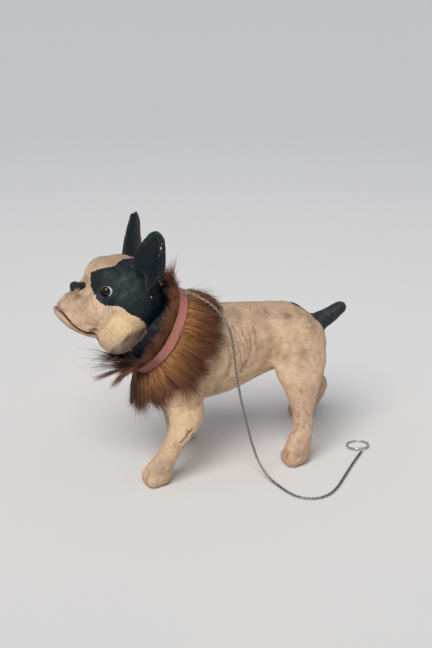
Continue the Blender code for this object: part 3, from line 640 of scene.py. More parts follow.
EAR_CHIPS = [
    (-77, -66, 409), (-79, -61, 398), (-82, -57, 372), (-84, -61, 352), (-84, -50, 335), (-88, -47, 320),
]
CHIP_SPOTS = [
    ((-162, -47, 343), 2.0), ((-92, -50, 317), 4.0), ((-78, -63, 401), 4.5), ((-80, -60, 330), 3.0),
    ((-96, -54, 312), 2.5),
]
EAR_RIM = [(-100, -43, 406), (-92, -50, 419), (-82, -59, 424), (-77, -64, 414), (-78, -62, 398)]
FACET_LINE = [(-160, 243), (-155, 249), (-135, 266), (-110, 269), (-96, 274)]
WHISKER_PITS = [
    (-197, 28, 312), (-203, 31, 305), (-211, 30, 304), (-193, 41, 292), (-185, 47, 289), (-200, 36, 296),
]


class BULLDOG_OT_head(bpy.types.Operator):
    """Carves and paints the head and its ears over their solid"""

    bl_idname = "bulldog.head"
    bl_label = "Head"

    def execute(self, context):
        figure = context.scene.bulldog_figure
        piece = fine_skin("painted_head", "head", figure.head_step, 6)
        clay = Clay(piece)
        for side in (NEAR, FAR):
            clay.shave((-135, side * 64, 267), (0.40, side * 0.84, -0.366), side, 48)
            clay.shave((-150, side * 62, 290), (-0.30, side * 0.94, 0.12), side, 26)
        clay.refresh()
        rim = [(-176, 41, 335), (-170, 44, 342), (-161, 47, 345), (-152, 50, 342), (-147, 51, 335)]
        low_rim = [(-176, 41, 331), (-170, 46, 324), (-161, 50, 321), (-152, 51, 325), (-147, 51, 332)]
        clay.groove(rim, 2.4, -1.2)
        clay.groove(low_rim, 2.2, -0.8)
        clay.press((-180, 38, 341), (9, 12, 12), 3.2)
        clay.press((-173, 6, 366), (13, 44, 12), 4.2)
        clay.press((-128, 0, 386), (24, 26, 12), -1.6)
        clay.shave((-88, 58, 424.5), (0.12, 0, 1), FAR, 60)
        clay.both(clay.groove, [(-180, 40, 346), (-168, 46, 352), (-152, 51, 350)], 3.0, 1.2)
        clay.both(clay.groove, [(-184, 34, 322), (-181, 42, 308), (-176, 48, 294), (-178, 48, 280)], 3.4, 1.5)
        clay.both(clay.groove, [(-196, 40, 284), (-188, 44, 279), (-181, 47, 278)], 2.2, 1.8)
        clay.both(clay.press, (-184, 44, 270), (8, 8, 6), 3.0)
        clay.both(clay.groove, [(-197, 17, 322), (-205, 15, 318), (-209, 8, 316)], 2.0, 1.4)
        clay.both(clay.press, (-209, 7.5, 329), (4, 4, 4), 2.0)
        clay.groove([(-210, 0, 334), (-211, 0, 326), (-212, 0, 316), (-222, 0, 310)], 1.8, 1.6)
        for place in WHISKER_PITS:
            clay.both(clay.press, place, (2.2, 2.2, 2.2), 1.1)
        clay.refresh()
        x, y, z = clay.points.T
        patch = inside_by(clay.points[:, [0, 2]], FACE_PATCH)
        cheek = (x > -160) & (x < -92) & (z > 256) & (z < 317)
        ragged = np.array([noise.noise(Vector(point) / 4) for point in clay.points])
        edge = -(patch + 3.5 * ragged)
        layer = ease(edge, 0, 1.6) * np.exp(-np.maximum(edge, 0) / 14) * cheek
        clay.push(1.1 * layer)
        clay.unevenly(figure, 4, (22, 0.8), (9, 0.6), (4, 0.35))
        clay.refresh()
        x, y, z = clay.points.T
        blaze = np.abs(y) - np.interp(x, *zip(*BLAZE))
        blaze -= 70 * (y > 0) * ease(-x, 170, 176)
        patch = np.minimum(patch, blaze)
        nose = 1 - np.linalg.norm((clay.points - np.array(NOSE_PLACE)) / np.array(NOSE_RADII), axis=1)
        patch = np.maximum(patch, nose * 12)
        mouth = clay.from_lines(MOUTH_LINES)
        corner = clay.near_pair((-185, -43, 270), (10, 10, 8))
        palate = (np.abs(y) < 36) & (z < 306) & (x < -160) & (clay.normals[:, 2] < -0.5)
        pits = WHISKER_PITS + [mirrored(place) for place in WHISKER_PITS]
        spots = clay.near_spots([(place, 2.6) for place in pits])
        chips = 0.50 * ease(-clay.from_line(EAR_CHIPS), -4.5, -1.0)
        chips = np.maximum(chips, clay.near_spots(CHIP_SPOTS))
        # Greyer black in a pool on each cheek patch and along the ear rim: painted sheen and highlight where
        # the light falls, as well as rubbed wear.
        rubbed = clay.near_pair((-134, -56, 345), (42, 44, 34))
        ear_rim = ease(-clay.from_line(EAR_RIM), -9, -2)
        # The cream cheeks are paler: their own paint, and partly painted light; the facet below them is left
        # out.
        cream_cheek = clay.near_pair((-132, -66, 284), (48, 36, 30))
        # Painted shade: the facet under each cheek, which faces down and back, is painted darker with stain
        # and soot.
        facet = np.interp(x, *zip(*FACET_LINE)) - z
        facet = ease(facet, -2, 9) * (x > -160) * (np.abs(y) > 30)
        crown = ease(z, 352, 384)
        muzzle = clay.near_place((-204, 0, 318), (40, 60, 40))
        lip_mark = clay.near_place((-226, -16, 300), (7, 7, 6))
        clay.mark_paint(
            patch=patch,
            rubbed=np.clip(1.2 * rubbed + 0.55 * ear_rim + 0.12, 0, 1),
            # Hollows darker: grime and painted shade, and the painted whisker dots.
            hollow=np.maximum(clay.hollows(7, 0.9), 0.6 * spots),
            stain=np.clip(1.0 * muzzle + 0.9 * facet, 0, 1),
            soot=np.clip(1.0 * crown + 0.45 * muzzle + 0.85 * facet + 0.9 * lip_mark, 0, 1),
            chips=chips,
            bright=np.clip(1.5 * cream_cheek, 0, 1) * (1 - facet),
            pink=np.clip(0.55 * ease(-mouth, -2.8, -0.8) + 0.9 * corner + palate, 0, 1),
        )
        dress_painted(piece, "head")
        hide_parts("head")
        return {"FINISHED"}


# Far outside any black patch, in figure millimetres.
NO_PATCH = -60


class BULLDOG_OT_jaw(bpy.types.Operator):
    """Carves and paints the lower jaw over its solid"""

    bl_idname = "bulldog.jaw"
    bl_label = "Jaw"

    def execute(self, context):
        figure = context.scene.bulldog_figure
        piece = fine_skin("painted_jaw", "jaw", figure.jaw_step, 5)
        clay = Clay(piece)
        clay.unevenly(figure, 8, (12, 0.5))
        clay.refresh()
        top = ease(clay.normals[:, 2], 0.35, 0.75)
        clay.mark_paint(
            patch=NO_PATCH,
            # Hollows darker: grime and painted shade.
            hollow=clay.hollows(5, 0.8),
            # Darker towards the bottom of the jaw.
            stain=0.7 * ease(-clay.points[:, 2], -290, -262),
            soot=0.30,
            pink=np.clip(0.8 * top + 0.3 * ease(-clay.from_lines(MOUTH_LINES), -2.0, -0.8), 0, 1),
        )
        dress_painted(piece, "jaw")
        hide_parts("jaw")
        return {"FINISHED"}


# Which way the near eye looks, and the eye's colours from its middle outwards. Each colour starts at an
# angle from the gaze, in degrees.
GAZE = (-0.63, 0.73, 0.20)
PUPIL = (0.002, 0.002, 0.002)
IRIS = (0.006, 0.003, 0.002), (0.018, 0.008, 0.005)
IRIS_RIM = (0.004, 0.004, 0.004)
EYE_WHITE = (0.60, 0.60, 0.58), (0.80, 0.79, 0.75)


def eye_glass():
    """Dark glass with a white behind the iris, under a clear gloss."""
    f = Finish("eye_glass", Roughness=0.06, Specular_IOR_Level=0.35)
    angle = f.attribute("iris_angle")
    streaks = f.noise(900, 3)
    iris = f.mix(streaks, *IRIS)
    color = f.mix(f.span(angle, 18, 22), PUPIL, iris)
    color = f.mix(f.span(angle, 50, 52), color, IRIS_RIM)
    white = f.mix(f.noise(240, 4), *EYE_WHITE)
    color = f.mix(f.span(angle, 55, 58), color, white)
    return f.wire(color)


class BULLDOG_OT_eyes(bpy.types.Operator):
    """Sets the two glass eyes in their sockets"""

    bl_idname = "bulldog.eyes"
    bl_label = "Eyes"

    def execute(self, context):
        glass = eye_glass()
        for node, side in (("eye_left", NEAR), ("eye_right", FAR)):
            low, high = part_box(node)
            centre, radius = (low + high) / 2, (high.z - low.z) / 2
            deselect()
            bpy.ops.mesh.primitive_uv_sphere_add(segments=48, ring_count=32, radius=radius, location=centre)
            piece = context.object
            piece.name = f"glass_{node}"
            bpy.ops.object.transform_apply(location=True, rotation=True, scale=True)
            gaze = Vector((GAZE[0], side * GAZE[1], GAZE[2])).normalized()
            clay = Clay(piece)
            rays = clay.points * MM + np.array(FLOOR_POINT) - np.array(centre)
            rays /= np.linalg.norm(rays, axis=1)[:, None]
            clay.mark(iris_angle=np.degrees(np.arccos(np.clip(rays @ np.array(gaze), -1, 1))))
            piece.data.shade_smooth()
            dress(piece, glass, "head")
            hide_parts(node)
        return {"FINISHED"}


HAIR_ROOTS = (0.12, 0.046, 0.014), (0.66, 0.30, 0.095)
HAIR_TIPS = (0.085, 0.030, 0.015), (0.54, 0.215, 0.100)
HAIR_BLACK = (0.016, 0.010, 0.009)


def bristle():
    """Horsehair: golden brown at the root, redder and darker to the tip, each hair a shade of its own."""
    f = Finish("bristle", Specular_IOR_Level=0.35)
    tone, along = f.attribute("hair_tone"), f.attribute("hair_along")
    color = f.mix(f.span(along, 0.15, 0.8), f.mix(tone, *HAIR_ROOTS), f.mix(tone, *HAIR_TIPS))
    # Darker bristles: black hairs, and painted shade deep in the cape and on the bed.
    color = f.mix(f.attribute("hair_dark"), color, HAIR_BLACK)
    return f.wire(color, f.span(tone, 0.0, 1.0, 0.62, 0.44))


HAIR_TWIST = np.array((0.31, 0.22, 0.92))


def locks(turn, middles):
    """The lock that each bristle belongs to, and how far round the neck its middle is from the bristle."""
    own = np.argmin(np.abs(np.angle(np.exp(1j * (turn[:, None] - middles[None])))), axis=1)
    return own, np.angle(np.exp(1j * (middles[own] - turn)))


def hairs(name, lines, radius, tone, dark):
    """One mesh of thin tapering three-sided bristles along lines of points, all of as many points."""
    count, steps = lines.shape[:2]
    ahead = np.gradient(lines, axis=1)
    ahead /= np.linalg.norm(ahead, axis=2)[..., None] + 1e-12
    side = np.cross(ahead, HAIR_TWIST)
    side /= np.linalg.norm(side, axis=2)[..., None] + 1e-12
    up = np.cross(ahead, side)
    share = np.linspace(0, 1, steps)
    size = radius[:, None] * (1 - 0.78 * share[None] ** 1.6)
    rings = []
    for i in range(3):
        turn = 2 * math.pi * i / 3
        rings.append(lines + size[..., None] * (side * math.cos(turn) + up * math.sin(turn)))
    verts = np.stack(rings, axis=2).reshape(-1, 3)
    start = np.arange(count)[:, None] * steps * 3
    quads = []
    for k in range(steps - 1):
        for i in range(3):
            j = (i + 1) % 3
            quads.append(start + np.array([[k * 3 + i, k * 3 + j, k * 3 + 3 + j, k * 3 + 3 + i]]))
    quads = np.concatenate(quads)
    last = (steps - 1) * 3
    caps = np.concatenate([start + np.array([[2, 1, 0]]), start + last + np.array([[0, 1, 2]])])
    loops = np.concatenate([quads.ravel(), caps.ravel()])
    sizes = np.concatenate([np.full(len(quads), 4), np.full(len(caps), 3)])
    mesh = bpy.data.meshes.new(name)
    mesh.vertices.add(len(verts))
    mesh.vertices.foreach_set("co", verts.ravel())
    mesh.loops.add(len(loops))
    mesh.loops.foreach_set("vertex_index", loops)
    mesh.polygons.add(len(sizes))
    mesh.polygons.foreach_set("loop_start", np.concatenate([[0], np.cumsum(sizes)[:-1]]))
    mesh.update(calc_edges=True)
    mesh.validate()
    piece = placed(name, mesh)
    each = steps * 3
    for field, values in (
        ("hair_tone", np.repeat(tone, each)),
        ("hair_dark", np.repeat(dark, each)),
        ("hair_along", np.tile(np.repeat(share, 3), count)),
    ):
        attribute = mesh.attributes.new(field, "FLOAT", "POINT")
        attribute.data.foreach_set("value", values.astype(np.float32))
    mesh.shade_smooth()
    return piece


# The cape: the angle round the neck from its top, how far it lies back from the band, and how far it stands
# beyond the neck there.
CAPE_EDGE = np.array([
    (0, 61, 6), (30, 61, 10), (45, 60, 16), (60, 66, 16), (80, 78, 12), (100, 76, 18), (115, 72, 40),
    (124, 66, 52), (132, 58, 58), (140, 50, 60), (157, 34, 52), (180, 18, 46),
])
OVER_BODY_REACH = 30 * MM
OVER_BODY_TURN_DEG = 112
CAPE_TURNS = 144
CAPE_SHARES = np.linspace(0, 1.4, 15)
HAIR_POINTS = 5
HAIR_UNDER_COLLAR = 2.5 * MM
BAND_HALF = 8.8 * MM


def cape_grid(skin):
    """Points under the cape all round the neck and back from the band, and the way out there."""
    grid = np.zeros((CAPE_TURNS + 1, len(CAPE_SHARES), 3))
    outs = np.zeros_like(grid)
    over = math.cos(math.radians(OVER_BODY_TURN_DEG))
    for i in range(CAPE_TURNS + 1):
        turn = 2 * math.pi * i / CAPE_TURNS
        angle = math.degrees(math.acos(math.cos(turn)))
        back, flare = (np.interp(angle, CAPE_EDGE[:, 0], CAPE_EDGE[:, k]) * MM for k in (1, 2))
        for j, share in enumerate(CAPE_SHARES):
            along = -BAND_HALF - back * share
            free = around_neck(turn, along, flare * share)
            axis = NECK_AT + NECK_AXIS * along
            out = (free - axis).normalized()
            reach = (free - axis).length
            hit = skin.ray_cast(axis + out * (reach + OVER_BODY_REACH), -out, OVER_BODY_REACH)[0]
            if math.cos(turn) > over or share > 1:
                reach = max(reach, (hit - axis).length if hit else 0)
            grid[i, j] = axis + out * reach
            outs[i, j] = out
    return grid, outs


def read_grid(grid, turn, share):
    """The grid's values at angles and shares, between its points."""
    i = np.mod(turn / (2 * math.pi), 1) * CAPE_TURNS
    j = np.clip(share / CAPE_SHARES[1], 0, len(CAPE_SHARES) - 1.001)
    i0, j0 = i.astype(int), j.astype(int)
    u, v = (i - i0)[..., None], (j - j0)[..., None]
    low = grid[i0, j0] * (1 - u) + grid[i0 + 1, j0] * u
    high = grid[i0, j0 + 1] * (1 - u) + grid[i0 + 1, j0 + 1] * u
    return low * (1 - v) + high * v


# How long the cape's locks are at an angle round the neck, for the length of its solid, on the left side.
LOCK_LENGTHS = [
    (-180, 1.30), (-120, 1.0), (-60, 1.05), (-12, 1.12), (30, 1.0), (62, 1.08), (78, 0.92), (92, 1.04),
    (104, 0.88), (116, 1.05), (126, 0.80), (140, 0.74), (152, 0.95), (166, 1.36), (180, 1.30),
]
BED_SHARE = 0.72


def cape_lines(draw, grid, outs, count, clumps):
    """Bristles from under the band, back over the shoulders and flanks and down over the chest. Each leans
    to the middle of its lock."""
    turn = draw.uniform(-math.pi, math.pi, count)
    middles = np.sort(draw.uniform(-math.pi, math.pi, clumps))
    stretch = np.interp(np.degrees(middles), *zip(*LOCK_LENGTHS)) * draw.uniform(0.90, 1.12, clumps)
    own, apart = locks(turn, middles)
    depth = draw.uniform(0, 1, count) ** 1.3
    length = stretch[own] * (1 - 0.34 * draw.uniform(0, 1, count) ** 1.6 - 0.20 * depth)
    share = np.linspace(0, 1, HAIR_POINTS)[None]
    pull = draw.uniform(0.35, 1.0, count)[:, None]
    lean = draw.normal(0, 0.07, count)[:, None] + draw.normal(0, 0.13, clumps)[own][:, None]
    turns = turn[:, None] + (apart[:, None] * pull + lean) * share**1.5
    turns += draw.normal(0, 0.02, (count, 1)) * np.sin(share * 7)
    shares = length[:, None] * share
    base = read_grid(grid, turns, shares)
    out = read_grid(outs, turns, shares)
    thick = np.interp(shares, (0, 0.12, 0.45, 0.8, 1.0, 1.4), (2.2, 5.6, 7.2, 6.0, 4.0, 3.0)) * MM
    thick *= np.interp(np.abs(np.degrees(turn)), (0, 30, 60), (0.55, 0.8, 1.0))[:, None]
    wild = (draw.uniform(0, 1, count) < 0.10) * 3.5
    stray = np.abs(draw.normal(0, 1.8, count) * (1 + wild))[:, None] * MM * share**2
    top = 2.6 * MM * np.cos(np.clip(apart * clumps / 2, -math.pi, math.pi))[:, None] * share**0.7
    lift = (thick + top) * (1 - 0.75 * depth[:, None]) + stray + 0.5 * MM
    return base + out * lift[..., None], own, depth, turn


FRONT_REACH = 30 * MM
FRONT_CLUMPS = 56
# Long loose locks before the collar: the angle at which each starts, where it ends on the figure, how many
# bristles it has, how far they spread at the end, and how dark they are.
LOCKS = [
    (148, (-157, -26, 160), 170, 6, 0.35), (156, (-182, -18, 176), 140, 6, 0.55),
    (166, (-194, -6, 198), 34, 18, 0.85), (150, (-196, -20, 214), 18, 24, 0.9),
    (140, (-172, -34, 226), 12, 20, 0.9), (172, (-186, 10, 214), 16, 26, 0.9),
    (-160, (-176, 26, 204), 24, 22, 0.8), (-150, (-160, 30, 184), 110, 12, 0.4),
    (14, (-48, -26, 350), 110, 9, 0.1), (2, (-46, -10, 356), 90, 10, 0.15),
    (-14, (-50, 12, 354), 110, 12, 0.15), (26, (-42, -36, 338), 110, 8, 0.2),
    (40, (-56, -52, 326), 110, 8, 0.2), (6, (-40, -16, 372), 22, 12, 0.2),
]


def front_lines(draw, count):
    """Short bristles from under the band towards the head, and the longer loose locks."""
    turn = draw.uniform(-math.pi, math.pi, count)
    middles = np.sort(draw.uniform(-math.pi, math.pi, FRONT_CLUMPS))
    own, apart = locks(turn, middles)
    low = (1 - np.cos(turn)) / 2
    reach = FRONT_REACH * draw.uniform(0.55, 1.0, count) * draw.uniform(0.7, 1.15, FRONT_CLUMPS)[own]
    flare = (12 + 9 * low**3) * MM * draw.uniform(0.25, 1.3, count)
    share = np.linspace(0, 1, HAIR_POINTS)
    rising = 0.34 * np.sin(turn) * (0.4 + 0.6 * draw.uniform(0, 1, count))
    turns = turn[:, None] + (0.6 * apart - rising + draw.normal(0, 0.06, count))[:, None] * share**1.3
    along = BAND_HALF - 1.5 * MM + reach[:, None] * share
    beyond = HAIR_UNDER_COLLAR * 0.5 + flare[:, None] * share**1.2 + 2.2 * MM * np.sin(share * math.pi)
    axis, down = np.array(NECK_AXIS), np.array(NECK_DOWN)
    lines = np.array(NECK_AT) + axis * along[..., None]
    lines = lines - down * ((NECK_TALL + beyond) * np.cos(turns))[..., None]
    lines = lines - np.array((0, 1, 0)) * ((NECK_WIDE + beyond) * np.sin(turns))[..., None]
    dark = np.clip(draw.uniform(0.0, 0.7, FRONT_CLUMPS)[own] + draw.normal(0, 0.2, count), 0, 0.95)
    made, darks = [lines], [dark]
    for angle, end, many, spread, shade in LOCKS:
        turns = [math.radians(angle + draw.normal(0, 5)) for _ in range(many)]
        root = np.array([around_neck(turn, BAND_HALF - MM, 3 * MM) for turn in turns])
        tip = np.array(at(end)) + draw.normal(0, spread * MM * 0.5, (many, 3))
        tip += (root - tip) * draw.uniform(0, 0.35, many)[:, None]
        bend = root + axis * 16 * MM + (tip - root) * 0.25
        t = share[None, :, None]
        made.append((1 - t) ** 2 * root[:, None] + 2 * t * (1 - t) * bend[:, None] + t * t * tip[:, None])
        darks.append(np.clip(shade + draw.normal(0, 0.12, many), 0, 1))
    return np.concatenate(made), np.concatenate(darks)


HEAD_GAP = 2.6 * MM
HEAD_SEARCH = 20 * MM


def clear_of_head(lines):
    """Lifts the bristles off the head at both ends of its nod and at rest. The low end, which crowds them
    most, comes last and twice."""
    head = bpy.data.objects["painted_head"].data
    nod = JOINTS["head_nod"]
    low, high = nod["range_deg"]
    for angle in (high, 0, low, low):
        turn = Matrix.Rotation(math.radians(angle), 4, Vector(nod["axis"]))
        turn = Matrix.Translation(NECK_AT) @ turn @ Matrix.Translation(-NECK_AT)
        corners = [turn @ vert.co for vert in head.vertices]
        skin = BVHTree.FromPolygons(corners, [face.vertices for face in head.polygons])
        for line in lines:
            for k in range(1, len(line)):
                for share in (0.5, 1.0):
                    place = Vector(line[k - 1] * (1 - share) + line[k] * share)
                    near, normal = skin.find_nearest(place, HEAD_SEARCH)[:2]
                    if near is not None and (place - near).dot(normal) < HEAD_GAP:
                        line[k] += np.array(near + normal * HEAD_GAP - place) / share


RUFF_SEED = 7


class BULLDOG_OT_ruff(bpy.types.Operator):
    """Lays the ruff's bristles in clumps over a dark bed"""

    bl_idname = "bulldog.ruff"
    bl_label = "Ruff"

    def execute(self, context):
        ruff = context.scene.bulldog_ruff
        finish = bristle()
        draw = np.random.default_rng(RUFF_SEED)
        skin = BVHTree.FromObject(bpy.data.objects["painted_body"], context.evaluated_depsgraph_get())
        grid, outs = cape_grid(skin)
        bed = self.bed(grid, outs)
        dress(bed, finish, "root")
        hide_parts("ruff")

        for name in ("ruff_under", "ruff_cape"):
            lines, own, depth, turn = cape_lines(draw, grid, outs, ruff.cape_hairs, ruff.clumps)
            count = len(lines)
            lock_tone = draw.uniform(0.1, 0.9, ruff.clumps)
            # Bristles lying deeper are darker and duller: painted shade inside the cape. They are also darker
            # under the neck, and some are black.
            tone = np.clip(0.5 * lock_tone[own] + 0.6 * draw.uniform(0, 1, count) - 0.25 * depth, 0, 1)
            low = ease(np.abs(np.degrees(turn)), 138, 160)
            lock_dark = draw.uniform(-0.24, 0.18, ruff.clumps)
            dark = np.clip(0.50 * depth + draw.normal(0, 0.16, count) + lock_dark[own] + 0.45 * low, 0, 0.92)
            dark[draw.uniform(0, 1, count) < 0.16] = 0.85
            radius = ruff.hair_radius * draw.uniform(0.7, 1.25, count)
            dress(hairs(name, lines, radius, tone, dark), finish, "root")

        lines, dark = front_lines(draw, ruff.front_hairs)
        clear_of_head(lines)
        count = len(lines)
        tone = draw.uniform(0.1, 0.9, count)
        radius = ruff.hair_radius * draw.uniform(0.6, 1.1, count)
        dress(hairs("ruff_front", lines, radius, tone, dark), finish, "root")
        return {"FINISHED"}

    def bed(self, grid, outs):
        """A thin mat under the bristles, from before the band to most of the way back, dark as painted shade
        among them.
        """
        deselect()
        bpy.ops.mesh.primitive_grid_add(x_subdivisions=96, y_subdivisions=14, size=1)
        piece = bpy.context.object
        piece.name = "ruff_bed"
        for vert in piece.data.vertices:
            turn = 2 * math.pi * (vert.co.x + 0.5)
            share = vert.co.y + 0.5
            if share < 0.25:
                along = BAND_HALF * (1 - share * 8) + 6 * MM * (1 - share * 4)
                vert.co = around_neck(turn, along, 1.4 * MM)
            else:
                angle = np.degrees(np.angle(np.exp(1j * turn)))
                reach = min(1.0, np.interp(angle, *zip(*LOCK_LENGTHS))) * BED_SHARE
                share = np.array([(share - 0.25) / 0.75 * reach])
                base = read_grid(grid, np.array([turn]), share)[0]
                out = read_grid(outs, np.array([turn]), share)[0]
                thick = np.interp(share[0] / reach, (0, 0.3, 0.8, 1), (1.4, 3.0, 2.6, 1.6)) * MM
                vert.co = Vector(base + out * thick)
        tidy_faces(piece, 0.1 * MM)
        wall = piece.modifiers.new("Wall", "SOLIDIFY")
        wall.thickness = 1.0 * MM
        apply_all(piece)
        clay = Clay(piece)
        # The bed's dark colour is painted shade between the bristles.
        clay.mark(hair_tone=0.3, hair_along=0.7, hair_dark=0.6)
        piece.data.shade_smooth()
        return piece


COLLAR_STEPS = 180
COLLAR_END_TURN_DEG = 108
COLLAR_OVERLAP_DEG = 34


SCUFF = (0.66, 0.36, 0.31)
EDGE_DIRT = (0.14, 0.05, 0.045)
CREASE_DIRT = (0.17, 0.055, 0.055)


def pink_leather(collar):
    """Faded red leather: fine grain, creases across, scuffed edges, darker low down, partly as painted shade
    under the neck.
    """
    f = Finish("pink_leather", Specular_IOR_Level=0.4)
    band = f.node("TexCoord", {}, "UV")
    across = f.node("SeparateXYZ", {0: band}, "Y")
    fade = f.attribute("faded")
    fade = f.plus(fade, f.times(f.minus(f.noise(60, 6, 0.7), 0.5), 0.5))
    color = f.mix(f.span(fade, 0.15, 0.85), collar.leather_dark[:], collar.leather[:])
    scuff = f.span(f.noise(260, 8, 0.7), 0.52, 0.72, 0.0, 0.55)
    color = f.mix(scuff, color, SCUFF)
    edge = f.math("ABSOLUTE", f.minus(across, 0.5))
    color = f.mix(f.span(edge, 0.42, 0.5, 0.0, 0.6), color, EDGE_DIRT)
    stretched = f.node("Mapping", {0: band, 3: (240, 4, 1)})
    creases = f.node("TexNoise", {"Vector": stretched, "Scale": 1.0, "Detail": 4})
    color = f.mix(f.span(creases, 0.58, 0.72, 0.0, 0.4), color, CREASE_DIRT)
    height = f.plus(f.times(f.cells(1100, "F1"), 0.4), f.times(creases, -0.6))
    return f.wire(color, f.span(scuff, 0.0, 0.5, 0.48, 0.66), height, 0.0004, 0.6)


class BULLDOG_OT_collar(bpy.types.Operator):
    """Wraps the leather band round the neck, one end lying over the other"""

    bl_idname = "bulldog.collar"
    bl_label = "Collar"

    def execute(self, context):
        collar = context.scene.bulldog_collar
        deselect()
        bpy.ops.mesh.primitive_grid_add(x_subdivisions=COLLAR_STEPS, y_subdivisions=6, size=1)
        piece = context.object
        piece.name = "leather_collar"
        start = math.radians(COLLAR_END_TURN_DEG)
        full = 2 * math.pi + math.radians(COLLAR_OVERLAP_DEG)
        base = HAIR_UNDER_COLLAR + 1.0 * MM
        fades = []
        for vert in piece.data.vertices:
            share, across = vert.co.x + 0.5, vert.co.y
            turn = start - full * share
            over = ease(share, 1 - math.radians(COLLAR_OVERLAP_DEG) / full - 0.05, 1.0)
            top_lap = over * (collar.thickness + 0.5 * MM)
            wave = 0.35 * MM * math.sin(turn * 7 + 1) * (2 * across) ** 2
            end_round = 1 - 0.55 * max(0.0, share - 0.985) / 0.015
            along = across * collar.width * end_round + 0.5 * MM * math.sin(turn * 3)
            vert.co = around_neck(turn, along, base + top_lap + wave)
            # Paler on top and darker underneath: fading, and painted shade under the neck.
            fades.append(0.15 + 0.85 * ease(math.cos(turn), -0.75, -0.05) if share < 0.93 else 0.95)
        Clay(piece).mark(faded=fades)
        wall = piece.modifiers.new("Wall", "SOLIDIFY")
        wall.thickness = collar.thickness
        wall.offset = 0
        round_off = piece.modifiers.new("Round", "BEVEL")
        round_off.width = collar.thickness * 0.3
        round_off.segments = 2
        apply_all(piece)
        tidy_faces(piece)
        piece.data.shade_smooth()
        dress(piece, pink_leather(collar), "root")
        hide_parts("collar")
        return {"FINISHED"}


def smooth_line(points, step):
    """A curve through every point, read at even steps."""
    route = [Vector(point) for point in points]
    ends = [2 * route[0] - route[1]] + route + [2 * route[-1] - route[-2]]
    fine = []
    for a, b, c, d in zip(ends, ends[1:], ends[2:], ends[3:]):
        for i in range(24):
            t = i / 24
            spread = 2 * b + (c - a) * t + (2 * a - 5 * b + 4 * c - d) * t**2 + (3 * b - a - 3 * c + d) * t**3
            fine.append(spread / 2)
    fine.append(route[-1])
    fine = np.array(fine)
    lengths = np.concatenate([[0], np.cumsum(np.linalg.norm(np.diff(fine, axis=0), axis=1))])
    wanted = np.linspace(0, lengths[-1], max(2, round(lengths[-1] / step)) + 1)
    return np.stack([np.interp(wanted, lengths, fine[:, k]) for k in range(3)], 1)


TARNISH = (0.050, 0.038, 0.028)


def old_steel(chain):
    """Dull steel with brown tarnish in patches and dark dirt where the links meet."""
    f = Finish("old_steel", Metallic=0.75)
    tarnish = f.span(f.noise(420, 6, 0.7), 0.45, 0.68)
    tarnish = f.plus(tarnish, f.times(f.attribute("link_end"), 1.2))
    color = f.mix(f.times(tarnish, 0.75), chain.steel[:], TARNISH)
    return f.wire(color, f.span(tarnish, 0.0, 1.0, 0.30, 0.55), f.noise(1500, 3), 0.0002, 0.4)


LINK_ROLL_DEG = 26
CHAIN_SOFTENING = 18


